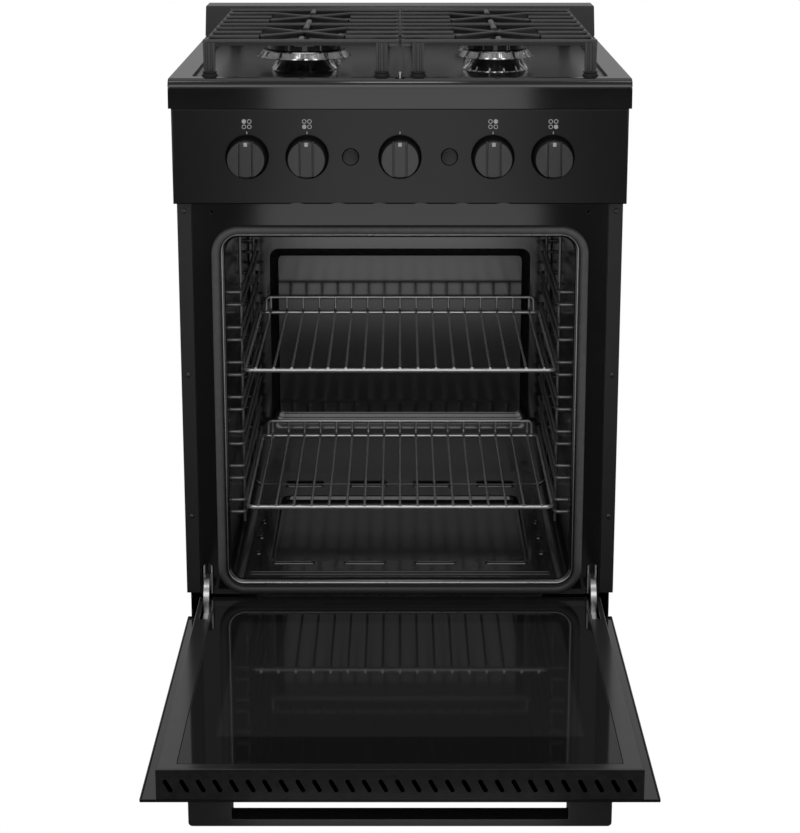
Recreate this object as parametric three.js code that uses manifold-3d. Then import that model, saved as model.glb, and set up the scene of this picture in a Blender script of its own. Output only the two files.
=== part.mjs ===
// Freestanding gas range, 24 inch class, with its oven door standing open.
// Millimetres, +Z up, the front of the range towards -Y.
// All places are first given from the closed door's outer face (y = 0), the floor (z = 0) and the
// middle of the range (x = 0). The last lines move the origin to the middle of the footprint.
import Module from 'manifold-3d';
import * as THREE from 'three';
import { mergeVertices } from 'three/addons/utils/BufferGeometryUtils.js';

const wasm = await Module();
wasm.setup();

// ---- Driving dimensions ----

// Overall
const rangeWidth = 606;
const cooktopOverhang = 3;
const rangeDepth = 646;
const cooktopHeight = 914;
const baseHeight = 30;
const sheet = 1.5;
const gap = 0.3;
const doorAngle = 90;

// Facets, how far a cutting tool reaches past the faces it cuts, and when corners are one
const roundSides = 24;
const smallSides = 16;
const holeSides = 12;
const wireSides = 6;
const cornerSteps = 5;
const bendSteps = 6;
const gasketSteps = 7;
const armSteps = 14;
const over = 1;
const weldDistance = 1e-4;

// Levelling feet
const footRadius = 19;
const footPadHeight = 8;
const footNeckRadius = 10;
const footCollarRadius = 15;
const footCollarHeight = 6;
const footStudRadius = 6;
const footStudLength = 26;
const footInsetX = 46;
const footInsetFront = 110;
const footInsetBack = 48;

// Body panels
const frontPlane = 50;
const baseWallHeight = 24;
const sideFlange = 19;
const backFlange = 16;
const notchRise = 2;
const notchDepth = 52;
const ventRows = 9;
const ventPitch = 16;
const ventWidth = 150;
const ventHeight = 6;
const ventTopInset = 25;
const inletInset = 70;
const inletRise = 29;
const inletHoleRadius = 20;

// Kick panel
const kickTop = 126;
const kickBottom = 42;
const kickFace = 8;

// Front frame and hinge slots
const frameRise = 1;
const hingeInset = 30;
const hingeSlotWidth = 16;
const hingeSlotHeight = 44;

// Oven cavity, its inner walls inset from the body, the door's top and the back of the range
const cavityInset = 63;
const cavityRise = 21;
const cavityTopInset = 49;
const cavityBackInset = 154;
const cavityRadius = 20;
const linerFlange = 24;
const linerHingeGap = 2.7;
const frameLap = 6.5;
const recessSideInset = 34.5;
const recessRise = 98;
const recessTopInset = 104;
const recessDepth = 12;
const recessRadius = 13;
const floorOpeningSideInset = 45;
const floorOpeningFront = 122;
const floorOpeningBackInset = 62;
const lampRadius = 26;
const lampCollar = 6;
const lampCollarThickness = 4.5;
const lampDrop = 6;
const lampHeight = 34;
const lampSideInset = 97;
const lampBackInset = 92;

// Door gasket
const gasketWidth = 11.6;
const gasketMargin = 18;
const gasketLowering = 1;
const gasketRadius = 38;
const gasketDepth = 8.4;

// Oven floor plate
const floorSink = 7;
const floorSinkMargin = 6;
const floorFrontInset = 6;
const floorHoleRadius = 5;
const floorHoleFront = 160;
const floorHolePitch = 70;
const floorHoleCount = 4;
const floorHoleInset = 11;
const floorSlotLength = 57;
const floorSlotWidth = 6;
const floorSlotGap = 22;
const floorSlotPitch = 102;
const floorSlotInset = 7;

// Oven burner
const ovenBurnerRadius = 16;
const ovenBurnerInset = 19;
const ovenBurnerDrop = 31;
const ovenBurnerLeg = 3;
const ovenVenturiRadius = 9;
const ovenVenturiLength = 60;
const trayDrop = 58;
const traySideMargin = 13;
const trayEndMargin = 10;

// Rack ladders
const rungRise = 91.2;
const rungPitch = 49.8;
const rungTopClearance = 90;
const rungPairGap = 17.7;
const rungRadius = 2.5;
const rungSideInset = 19;
const rungFront = 80;
const rungBackInset = 40;
const uprightInset = 50;
const uprightOffset = 4;
const uprightTopInset = 8;

// Racks
const rackInset = 2;
const rackSeatGap = 0.1;
const rackFront = 85;
const rackBackInset = 46;
const rackRailRadius = 3.2;
const rackWireRadius = 2;
const rackWirePitch = 25;
const rackStopHeight = 24;
const rackStopInset = 9;
const upperRackRow = 4;
const lowerRackRow = 0;

// Control fascia
const fasciaFace = 5;
const fasciaHeight = 126.7;
const fasciaWall = 2;
const controlRise = 63;
const outerKnobInset = 99;
const knobPairPitch = 79;
const buttonOffset = 4;
const scallopPitch = 58;
const scallopCount = 7;
const scallopRadius = 9;

// Knobs, stems and buttons
const skirtRadius = 28.5;
const skirtThickness = 5;
const knobFaceRadius = 24.5;
const knobDepth = 26;
const edgeChamfer = 1;
const gripWidth = 14.5;
const gripGroove = 3;
const gripSink = 9;
const knobBore = 18;
const knobStandoff = 4;
const stemRadius = 4;
const stemBore = 18;
const stemEndClearance = 4;
const stemHoleMargin = 2;
const buttonRadius = 11;
const buttonStandout = 5;
const buttonBody = 13;
const buttonCollar = 2;
const buttonPlungerLength = 27;
const buttonPlungerRadius = 3;

// Gas manifold, set back from the front frame
const manifoldRadius = 9;
const manifoldSetback = 36;
const valveWidth = 26;
const valveSetback = 6;
const thermostatWidth = 44;
const thermostatHeight = 50;
const feedPipeRadius = 7;

// Switch bracket
const bracketReach = 23;
const bracketHeight = 40;
const bracketSetoff = 16;
const bracketPostInset = 6;
const bracketStemHole = 8;
const bracketPostRadius = 4;

// Cooktop
const apronHeight = 39;
const bullnoseRadius = 11;
const apronLip = 12;
const wellSink = 5;
const wellMarginX = 30;
const wellFront = 24;
const wellBackMargin = 8;
const wellRadius = 12;

// Backguard
const backguardDepth = 82;
const backguardLean = 21;
const backguardHeight = 45.5;
const backguardSlotCount = 10;
const backguardSlotPitch = 46;
const backguardSlotWidth = 32;
const backguardSlotHeight = 7;

// Burners
const burnerInset = 128;
const largeCrownRadius = 64;
const mediumCrownRadius = 52;
const throatRadius = 15;
const baseFlareRadius = 44;
const baseNeckRadius = 34;
const throatDrop = 30;
const crownBottom = 18;
const crownTop = 28;
const crownTaper = 8;
const crownUnderside = 17;
const capThickness = 12;
const capInset = 14;
const capRound = 5;
const supportHeight = 22;
const supportWidth = 40;

// Grates
const grateSideInset = 14;
const grateFrontInset = 13;
const grateBackInset = 43;
const grateRise = 47;
const grateBarWidth = 8;
const grateBarDepth = 9;
const grateRimDepth = 10;
const grateRailWidth = 6;
const grateBars = 9;
const grateLegWidth = 15;
const grateCentreGap = 1.5;
const innerLegX = 16;
const fingerSpread = 58;
const fingerReach = 26;

// Door
const pivotSetoff = 5;
const pivotZ = 183;
const doorTopGap = 5;
const doorSideInset = 1;
const doorBelowPivot = 28;
const skinReturn = 4;
const linerSideInset = 19.5;
const linerFace = 4;
const linerTuck = 8;
const innerGlassSideInset = 23.5;
const innerGlassTopInset = 17;
const innerGlassBottom = 30;
const glassThickness = 3;
const windowSideInset = 37.5;
const windowBottomInset = 60;
const windowTopInset = 74;
const windowRadius = 14;
const outerWindowSideInset = 26.5;
const outerWindowBottomInset = 60;
const outerWindowTopInset = 49;
const outerGlassLap = 14;
const ventSlotPitch = 19.2;
const ventSlotLength = 18;
const ventSlotWidth = 5.4;
const ventSlotLean = 29;

// Door handle
const handleWidth = 496;
const handleHeight = 31;
const handleBar = 9;
const handleStandoff = 40;
const handlePost = 51;
const handleTopInset = 20;
const handleRadius = 5;

// Hinges
const armThickness = 8;
const armRadius = 31;
const armInnerRadius = 15;
const armLength = 150;
const armHeight = 20;
const armSweep = [-60, 90];
const armSlotMargin = 0.6;
const housingWall = 2;
const housingHeight = 46;
const housingDepth = 48;

// ---- Worked-out sizes ----

const halfRange = rangeWidth / 2;
const halfBody = halfRange - cooktopOverhang;
const sideInner = halfBody - sheet;
const backFace = rangeDepth - sheet;
const wellFloor = cooktopHeight - wellSink;
const panelTop = cooktopHeight - sheet - gap;
const apronBottom = cooktopHeight - apronHeight;

const fasciaTop = apronBottom - gap;
const fasciaBottom = fasciaTop - fasciaHeight;
const fasciaBack = frontPlane - gap;
const controlHeight = fasciaBottom + controlRise;
const outerKnobX = halfBody - outerKnobInset;
const innerKnobX = outerKnobX - knobPairPitch;
const buttonX = innerKnobX / 2 + buttonOffset;
const valveFront = frontPlane + valveSetback;
const manifoldY = frontPlane + manifoldSetback;
const bracketFace = frontPlane - bracketSetoff;
const inletX = inletInset - halfBody;
const inletZ = controlHeight + inletRise;

const doorTop = fasciaBottom - doorTopGap;
const frameBottom = pivotZ + frameRise;
const frameTop = fasciaBottom - gap;
const frameHalfX = halfBody - sideFlange - gap;
const hingeX = halfBody - hingeInset;
const housingHalfX = armThickness / 2 + gap + housingWall;

const halfCavity = halfBody - cavityInset;
const cavityBottom = frameBottom + cavityRise;
const cavityTop = doorTop - cavityTopInset;
const cavityBack = rangeDepth - cavityBackInset;
const linerFront = frontPlane + sheet + gap;
const linerBack = cavityBack + recessDepth + sheet;
const floorOpeningHalfX = halfCavity - floorOpeningSideInset;
const floorOpeningBack = cavityBack - floorOpeningBackInset;

const rungX = halfCavity - rungSideInset;
const rungBack = cavityBack - rungBackInset;
const rungBottom = cavityBottom + rungRise;
const rungLevels = Math.floor((cavityTop - rungTopClearance - rungBottom) / rungPitch) + 1;
const rackHalfX = rungX - rackInset;
const rackBack = cavityBack - rackBackInset;

const backguardFront = rangeDepth - backguardDepth;
const wellHalfX = halfRange - wellMarginX;
const wellBack = backguardFront - wellBackMargin;
const grateHalfX = wellHalfX - grateSideInset;
const grateFront = wellFront + grateFrontInset;
const grateBack = wellBack - grateBackInset;
const grateTop = cooktopHeight + grateRise;
const grateBarPitch = (grateBack - grateFront - grateBarWidth) / (grateBars - 1);
const burnerX = grateHalfX - burnerInset;
// Each burner sits under the bar midway between its grate's end and middle bars.
const middleBar = (grateBars - 1) / 2;
const frontBurnerBar = middleBar / 2;
const backBurnerBar = grateBars - 1 - frontBurnerBar;

const knobs = [
  { name: 'rear_left', x: -outerKnobX },
  { name: 'front_left', x: -innerKnobX },
  { name: 'oven', x: 0 },
  { name: 'rear_right', x: innerKnobX },
  { name: 'front_right', x: outerKnobX },
];
const frontBurnerY = grateBarY(frontBurnerBar);
const backBurnerY = grateBarY(backBurnerBar);
const burners = [
  { name: 'front_left', x: -burnerX, y: frontBurnerY, crown: largeCrownRadius },
  { name: 'rear_left', x: -burnerX, y: backBurnerY, crown: mediumCrownRadius },
  { name: 'rear_right', x: burnerX, y: backBurnerY, crown: mediumCrownRadius },
  { name: 'front_right', x: burnerX, y: frontBurnerY, crown: mediumCrownRadius },
];
const sides = [
  { name: 'left', sign: -1 },
  { name: 'right', sign: 1 },
];

function grateBarY(index) {
  return grateFront + grateBarWidth / 2 + index * grateBarPitch;
}

// ---- Materials ----

function metal(color, roughness, metalness) {
  return new THREE.MeshStandardMaterial({ color, roughness, metalness });
}

const blackSteel = metal(0x3a3a3a, 0.32, 0.8);
const greyBodyPaint = metal(0x4c4c4c, 0.5, 0.1);
const galvanised = metal(0x9a9d9f, 0.45, 0.9);
const blackEnamel = metal(0x1c1c1d, 0.2, 0.1);
const castIron = metal(0x2b2b2b, 0.75, 0.2);
const chrome = metal(0xd8d8d8, 0.12, 1.0);
const crownAluminium = metal(0xb9b9b9, 0.28, 1.0);
const hingeSteel = metal(0xa8a8a8, 0.35, 1.0);
const blackPlastic = metal(0x202020, 0.45, 0.0);
const valveBrass = metal(0xb08d4a, 0.35, 1.0);
const gasketRubber = metal(0x555555, 0.8, 0.0);
const footRubber = metal(0x1d1d1d, 0.85, 0.0);
const darkGlass = metal(0x0b0b0c, 0.05, 0.0);
const lampGlass = metal(0xe6e6e0, 0.1, 0.0);

// ---- Building blocks ----

// A closed geometry becomes a solid once its shared corners are merged.
function toSolid(geometry) {
  const bare = geometry.clone();
  bare.deleteAttribute('normal');
  bare.deleteAttribute('uv');
  const merged = mergeVertices(bare, weldDistance);
  const corners = merged.index.array;
  const triangles = [];
  for (let i = 0; i < corners.length; i += 3) {
    const [a, b, c] = [corners[i], corners[i + 1], corners[i + 2]];
    if (a !== b && b !== c && c !== a) {
      triangles.push(a, b, c);
    }
  }
  return new wasm.Manifold(new wasm.Mesh({
    numProp: 3,
    vertProperties: merged.attributes.position.array,
    triVerts: new Uint32Array(triangles),
  }));
}

function toGeometry(solid) {
  const mesh = solid.getMesh();
  const geometry = new THREE.BufferGeometry();
  geometry.setAttribute('position', new THREE.BufferAttribute(mesh.vertProperties, 3));
  geometry.setIndex(new THREE.BufferAttribute(mesh.triVerts, 1));
  geometry.computeVertexNormals();
  return geometry;
}

function block([x0, x1], [y0, y1], [z0, z1]) {
  const geometry = new THREE.BoxGeometry(x1 - x0, y1 - y0, z1 - z0);
  geometry.translate((x0 + x1) / 2, (y0 + y1) / 2, (z0 + z1) / 2);
  return toSolid(geometry);
}

function join(solids) {
  return solids.reduce((whole, next) => whole.add(next));
}

function cut(solid, tools) {
  return tools.reduce((left, tool) => left.subtract(tool), solid);
}

const unitX = new THREE.Vector3(1, 0, 0);
const unitY = new THREE.Vector3(0, 1, 0);
const unitZ = new THREE.Vector3(0, 0, 1);
const downY = new THREE.Vector3(0, -1, 0);

// An outline extruded along an axis. The outline's two directions are y and z for axis x,
// x and z for axis y, and x and y for axis z.
function prism(outline, axis, [from, to]) {
  const geometry = new THREE.ExtrudeGeometry(outline, { depth: to - from, bevelEnabled: false });
  if (axis === 'x') {
    geometry.applyMatrix4(new THREE.Matrix4().makeBasis(unitY, unitZ, unitX));
    geometry.translate(from, 0, 0);
  } else if (axis === 'y') {
    geometry.applyMatrix4(new THREE.Matrix4().makeBasis(unitX, unitZ, downY));
    geometry.translate(0, to, 0);
  } else {
    geometry.translate(0, 0, from);
  }
  return toSolid(geometry);
}

function arcPoints(cx, cy, radius, fromDegrees, toDegrees, steps) {
  return Array.from({ length: steps + 1 }, (_, i) => {
    const angle = THREE.MathUtils.degToRad(fromDegrees + (toDegrees - fromDegrees) * i / steps);
    return new THREE.Vector2(cx + radius * Math.cos(angle), cy + radius * Math.sin(angle));
  });
}

function roundedRectangle([x0, x1], [y0, y1], radius, steps = cornerSteps) {
  return new THREE.Shape([
    ...arcPoints(x1 - radius, y0 + radius, radius, -90, 0, steps),
    ...arcPoints(x1 - radius, y1 - radius, radius, 0, 90, steps),
    ...arcPoints(x0 + radius, y1 - radius, radius, 90, 180, steps),
    ...arcPoints(x0 + radius, y0 + radius, radius, 180, 270, steps),
  ]);
}

function circle(cx, cy, radius, count = roundSides) {
  return new THREE.Shape(arcPoints(cx, cy, radius, 0, 360, count).slice(0, -1));
}

// A profile of [radius, height] pairs, listed from the top of the axis down to its foot,
// turned about the vertical axis.
function turned(profile, count = roundSides) {
  const points = profile.map(([radius, height]) => new THREE.Vector2(radius, height));
  const geometry = new THREE.LatheGeometry(points.reverse(), count);
  geometry.rotateX(Math.PI / 2);
  return toSolid(geometry);
}

function rod(from, to, radius, count = wireSides) {
  const start = new THREE.Vector3(...from);
  const end = new THREE.Vector3(...to);
  const geometry = new THREE.CylinderGeometry(radius, radius, start.distanceTo(end), count);
  const along = end.clone().sub(start).normalize();
  geometry.applyQuaternion(new THREE.Quaternion().setFromUnitVectors(unitY, along));
  const middle = start.add(end).multiplyScalar(0.5);
  geometry.translate(middle.x, middle.y, middle.z);
  return toSolid(geometry);
}

function mirrored(solid, sign) {
  return sign > 0 ? solid : solid.mirror([1, 0, 0]);
}

const range = new THREE.Group();

function place(name, solid, material, position = [0, 0, 0], parent = range) {
  const mesh = new THREE.Mesh(toGeometry(solid), material);
  mesh.name = name;
  mesh.position.set(...position);
  parent.add(mesh);
  return mesh;
}

// ---- Base, feet and outer panels ----

const footXs = [-(halfBody - footInsetX), halfBody - footInsetX];
const footYs = [footInsetFront, rangeDepth - footInsetBack];

function makeFeet() {
  const collarTop = baseHeight - gap;
  const collarBottom = collarTop - footCollarHeight;
  const foot = turned([
    [0, collarTop + footStudLength],
    [footStudRadius, collarTop + footStudLength],
    [footStudRadius, collarTop],
    [footCollarRadius, collarTop],
    [footCollarRadius, collarBottom],
    [footNeckRadius, collarBottom],
    [footNeckRadius, footPadHeight],
    [footRadius, footPadHeight],
    [footRadius, 0],
    [0, 0],
  ], smallSides);
  const names = ['foot_front_left', 'foot_front_right', 'foot_back_left', 'foot_back_right'];
  footYs.forEach((y, row) => footXs.forEach((x, column) => {
    place(names[row * 2 + column], foot, footRubber, [x, y, 0]);
  }));
}

function makeBasePan() {
  const halfX = sideInner - gap;
  const front = linerFront;
  const back = backFace - gap - sheet;
  const outer = block([-halfX, halfX], [front, back], [baseHeight, baseHeight + baseWallHeight]);
  const inner = block(
    [-halfX + sheet, halfX - sheet],
    [front + sheet, back - sheet],
    [baseHeight + sheet, baseHeight + baseWallHeight + over],
  );
  const through = [baseHeight - over, baseHeight + sheet + over];
  const holes = footYs.flatMap((y) => footXs.map((x) => (
    prism(circle(x, y, footStudRadius + gap, smallSides), 'z', through)
  )));
  place('base_pan', cut(outer, [inner, ...holes]), galvanised);
}

function makeSidePanel({ name, sign }) {
  const back = backFace - gap;
  const section = new THREE.Shape([
    new THREE.Vector2(halfBody - sideFlange, frontPlane),
    new THREE.Vector2(halfBody, frontPlane),
    new THREE.Vector2(halfBody, back),
    new THREE.Vector2(halfBody - backFlange, back),
    new THREE.Vector2(halfBody - backFlange, back - sheet),
    new THREE.Vector2(sideInner, back - sheet),
    new THREE.Vector2(sideInner, frontPlane + sheet),
    new THREE.Vector2(halfBody - sideFlange, frontPlane + sheet),
  ]);
  const panel = prism(section, 'z', [baseHeight, panelTop]);
  // The open door's lower edge swings through this notch.
  const notch = block(
    [halfBody - sideFlange - over, halfBody + over],
    [frontPlane - over, frontPlane + notchDepth],
    [kickTop, frameBottom + notchRise],
  );
  place(`side_panel_${name}`, mirrored(panel.subtract(notch), sign), greyBodyPaint);
}

function makeBackPanel() {
  const plate = block([-halfBody, halfBody], [backFace, rangeDepth], [baseHeight, panelTop]);
  const through = [backFace - over, rangeDepth + over];
  const vents = Array.from({ length: ventRows }, (_, row) => {
    const z = apronBottom - ventTopInset - row * ventPitch;
    return block([0, ventWidth], through, [z - ventHeight, z]);
  });
  const inlet = prism(circle(inletX, inletZ, inletHoleRadius, smallSides), 'y', through);
  place('back_panel', cut(plate, [...vents, inlet]), galvanised);
}

function makeKickPanel() {
  const outer = block([-halfBody, halfBody], [kickFace, fasciaBack], [kickBottom, kickTop]);
  const inner = block(
    [-halfBody + sheet, halfBody - sheet],
    [kickFace + sheet, fasciaBack + over],
    [kickBottom + sheet, kickTop - sheet],
  );
  place('kick_panel', outer.subtract(inner), blackSteel);
}

// ---- Front frame, oven liner and gasket ----

function cavityOutline(grow) {
  return roundedRectangle(
    [-halfCavity - grow, halfCavity + grow],
    [cavityBottom - grow, cavityTop + grow],
    cavityRadius + grow,
  );
}

function makeFrontFrame() {
  const thickness = [frontPlane, frontPlane + sheet];
  const through = [frontPlane - over, frontPlane + sheet + over];
  const plate = block([-frameHalfX, frameHalfX], thickness, [frameBottom, frameTop]);
  const opening = prism(cavityOutline(frameLap), 'y', through);
  const slots = sides.map(({ sign }) => block(
    [sign * hingeX - hingeSlotWidth / 2, sign * hingeX + hingeSlotWidth / 2],
    through,
    [frameBottom - over, frameBottom + hingeSlotHeight],
  ));
  place('front_frame', cut(plate, [opening, ...slots]), blackSteel);
}

function makeOvenLiner() {
  // The flange stops short of the hinge housings at the sides.
  const flangeHalfX = hingeX - housingHalfX - linerHingeGap;
  const flange = prism(roundedRectangle(
    [-flangeHalfX, flangeHalfX],
    [frameBottom + gap, cavityTop + linerFlange],
    cavityRadius,
  ), 'y', [linerFront, linerFront + sheet]);
  const shell = prism(cavityOutline(sheet), 'y', [linerFront, cavityBack + sheet]);
  const hollow = prism(cavityOutline(0), 'y', [linerFront - over, cavityBack]);
  const recessX = [recessSideInset - halfCavity, halfCavity - recessSideInset];
  const recessZ = [cavityBottom + recessRise, cavityTop - recessTopInset];
  const pocket = prism(
    roundedRectangle(recessX, recessZ, recessRadius),
    'y',
    [cavityBack - over, cavityBack + recessDepth],
  );
  const pocketShell = prism(
    roundedRectangle(
      [recessX[0] - sheet, recessX[1] + sheet],
      [recessZ[0] - sheet, recessZ[1] + sheet],
      recessRadius + sheet,
    ),
    'y',
    [cavityBack, linerBack],
  );
  const floorOpening = block(
    [-floorOpeningHalfX, floorOpeningHalfX],
    [floorOpeningFront, floorOpeningBack],
    [cavityBottom - sheet - over, cavityBottom + over],
  );
  const lampHole = prism(
    circle(halfCavity - lampSideInset, cavityBack - lampBackInset, lampRadius, smallSides),
    'z',
    [cavityTop - over, cavityTop + sheet + over],
  );
  const solid = cut(join([flange, shell, pocketShell]), [hollow, pocket, floorOpening, lampHole]);
  place('oven_liner', solid, blackEnamel);
}

function makeGasket() {
  const halfX = halfCavity + gasketMargin;
  const z = [cavityBottom - gasketMargin - gasketLowering, cavityTop + gasketMargin - gasketLowering];
  const ring = (inset) => roundedRectangle(
    [-halfX + inset, halfX - inset],
    [z[0] + inset, z[1] - inset],
    gasketRadius - inset,
    gasketSteps,
  );
  const back = frontPlane - gap;
  const outer = prism(ring(0), 'y', [back - gasketDepth, back]);
  const inner = prism(ring(gasketWidth), 'y', [back - gasketDepth - over, back + over]);
  place('door_gasket', outer.subtract(inner), gasketRubber);
}

function makeOvenFloor() {
  const z = [cavityBottom + gap, cavityBottom + gap + sheet];
  const y = [frontPlane + floorFrontInset, cavityBack - gap];
  const halfX = halfCavity - cavityRadius;
  const plate = block([-halfX, halfX], y, z);
  const sunkX = [floorSinkMargin - floorOpeningHalfX, floorOpeningHalfX - floorSinkMargin];
  const sunkY = [floorOpeningFront + floorSinkMargin, floorOpeningBack - floorSinkMargin];
  const pan = block(
    [sunkX[0] - sheet, sunkX[1] + sheet],
    [sunkY[0] - sheet, sunkY[1] + sheet],
    [z[0] - floorSink, z[1]],
  );
  const sink = block(sunkX, sunkY, [z[1] - floorSink, z[1] + over]);
  const cuts = [sink];
  const through = [z[0] - over, z[1] + over];
  sides.forEach(({ sign }) => {
    for (let i = 0; i < floorHoleCount; i += 1) {
      const holeY = floorHoleFront + i * floorHolePitch;
      const hole = circle(sign * (halfX - floorHoleInset), holeY, floorHoleRadius, holeSides);
      cuts.push(prism(hole, 'z', through));
    }
    [0, 1].forEach((slot) => {
      const x = sign * (floorSlotGap + floorSlotLength / 2 + slot * floorSlotPitch);
      const slotX = [x - floorSlotLength / 2, x + floorSlotLength / 2];
      const frontY = sunkY[0] - sheet - floorSlotInset;
      const backY = y[1] - floorSlotInset;
      cuts.push(block(slotX, [frontY - floorSlotWidth, frontY], through));
      cuts.push(block(slotX, [backY - floorSlotWidth, backY], through));
    });
  });
  place('oven_floor', cut(plate.add(pan), cuts), blackEnamel);
}

function makeOvenBurner() {
  const trayTop = cavityBottom - sheet - gap;
  const trayFloor = cavityBottom - trayDrop;
  const trayHalfX = floorOpeningHalfX + traySideMargin;
  const trayFront = floorOpeningFront - trayEndMargin;
  const trayBack = floorOpeningBack + trayEndMargin;
  const outer = block([-trayHalfX, trayHalfX], [trayFront, trayBack], [trayFloor, trayTop]);
  const inner = block(
    [-trayHalfX + sheet, trayHalfX - sheet],
    [trayFront + sheet, trayBack - sheet],
    [trayFloor + sheet, trayTop + over],
  );
  const burnerZ = cavityBottom - ovenBurnerDrop;
  const venturiHole = prism(
    circle(0, burnerZ, ovenVenturiRadius + gap, smallSides),
    'y',
    [trayBack - sheet - over, trayBack + over],
  );
  place('burner_tray', cut(outer, [inner, venturiHole]), galvanised);

  const burnerY = [trayFront + ovenBurnerInset, trayBack - ovenBurnerInset];
  const tube = rod([0, burnerY[0], burnerZ], [0, burnerY[1], burnerZ], ovenBurnerRadius, smallSides);
  const venturi = rod(
    [0, burnerY[1] - over, burnerZ],
    [0, trayBack + ovenVenturiLength, burnerZ],
    ovenVenturiRadius,
    smallSides,
  );
  const legs = burnerY.map((y, end) => block(
    [-ovenBurnerRadius, ovenBurnerRadius],
    end === 0 ? [y, y + ovenBurnerLeg] : [y - ovenBurnerLeg, y],
    [trayFloor + sheet + gap, burnerZ],
  ));
  place('oven_burner', join([tube, venturi, ...legs]), galvanised);
}

function makeOvenLamp() {
  const lampBody = lampRadius - gap;
  const collarBottom = sheet + gap;
  const lamp = turned([
    [0, lampHeight],
    [lampBody, lampHeight],
    [lampBody, collarBottom + lampCollarThickness],
    [lampBody + lampCollar, collarBottom + lampCollarThickness],
    [lampBody + lampCollar, collarBottom],
    [lampBody, collarBottom],
    [lampBody, 0],
    [lampBody / 2, -lampDrop],
    [0, -lampDrop],
  ], smallSides);
  const position = [halfCavity - lampSideInset, cavityBack - lampBackInset, cavityTop];
  place('oven_lamp', lamp, lampGlass, position);
}

// ---- Rack ladders and racks ----

// Rungs are counted from the lowest pair up.
function rungHeight(level) {
  return rungBottom + level * rungPitch;
}

function makeLadder({ name, sign }) {
  const wires = [];
  const uprightX = rungX + uprightOffset;
  [rungFront + uprightInset, rungBack - uprightInset].forEach((y) => {
    wires.push(rod([uprightX, y, rungBottom], [uprightX, y, cavityTop - uprightTopInset], rungRadius));
  });
  for (let level = 0; level < rungLevels; level += 1) {
    const z = rungHeight(level);
    [z, z + rungPairGap].forEach((height) => {
      wires.push(rod([rungX, rungFront, height], [rungX, rungBack, height], rungRadius));
    });
    [rungFront, rungBack].forEach((y) => {
      const inward = y === rungFront ? rungRadius : -rungRadius;
      wires.push(rod([rungX, y + inward, z], [halfCavity - gap, y + inward, z], rungRadius));
    });
  }
  place(`ladder_${name}`, mirrored(join(wires), sign), chrome);
}

// A rack's side rail lies a little inboard on top of its rung, so that it clears the uprights.
function makeRack(name, level) {
  const wires = [];
  const stopX = rackHalfX - rackStopInset;
  sides.forEach(({ sign }) => {
    const x = sign * rackHalfX;
    wires.push(rod([x, rackFront, 0], [x, rackBack, 0], rackRailRadius));
    wires.push(rod(
      [sign * stopX, rackBack, 0],
      [sign * stopX, rackBack, rackStopHeight],
      rackWireRadius,
    ));
  });
  [rackFront, rackBack].forEach((y) => {
    wires.push(rod([-rackHalfX, y, 0], [rackHalfX, y, 0], rackRailRadius));
  });
  const stopEnd = stopX + rackWireRadius;
  wires.push(rod(
    [-stopEnd, rackBack, rackStopHeight],
    [stopEnd, rackBack, rackStopHeight],
    rackWireRadius,
  ));
  const wiresEachSide = Math.floor((rackHalfX - rackRailRadius) / rackWirePitch);
  for (let k = -wiresEachSide; k <= wiresEachSide; k += 1) {
    const x = k * rackWirePitch;
    wires.push(rod([x, rackFront, rackWireRadius], [x, rackBack, rackWireRadius], rackWireRadius));
  }
  const wireReach = rungRadius + rackRailRadius + rackSeatGap;
  const railAboveRung = Math.sqrt(wireReach ** 2 - rackInset ** 2);
  place(name, join(wires), chrome, [0, 0, rungHeight(level) + railAboveRung]);
}

// ---- Control fascia, knobs, buttons and gas train ----

function makeFascia() {
  const outer = block([-halfBody, halfBody], [fasciaFace, fasciaBack], [fasciaBottom, fasciaTop]);
  const inner = block(
    [-halfBody + fasciaWall, halfBody - fasciaWall],
    [fasciaFace + fasciaWall, fasciaBack + over],
    [fasciaBottom + fasciaWall, fasciaTop - fasciaWall],
  );
  const front = [fasciaFace - over, fasciaFace + fasciaWall + over];
  const stemHoles = knobs.map(({ x }) => (
    prism(circle(x, controlHeight, stemRadius + stemHoleMargin, smallSides), 'y', front)
  ));
  const buttonHoles = sides.map(({ sign }) => (
    prism(circle(sign * buttonX, controlHeight, buttonRadius + gap, smallSides), 'y', front)
  ));
  const scallops = Array.from({ length: scallopCount }, (_, i) => {
    const x = (i - (scallopCount - 1) / 2) * scallopPitch;
    return prism(
      circle(x, fasciaBack, scallopRadius, smallSides),
      'z',
      [fasciaBottom - over, fasciaBottom + fasciaWall + over],
    );
  });
  place('control_fascia', cut(outer, [inner, ...stemHoles, ...buttonHoles, ...scallops]), blackSteel);
}

// Knobs, stems and buttons are turned about +Z and then laid along the range's -Y.
function placeControl(name, solid, material, x, y) {
  const mesh = place(name, solid, material, [x, y, controlHeight]);
  mesh.rotation.x = Math.PI / 2;
}

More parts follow.
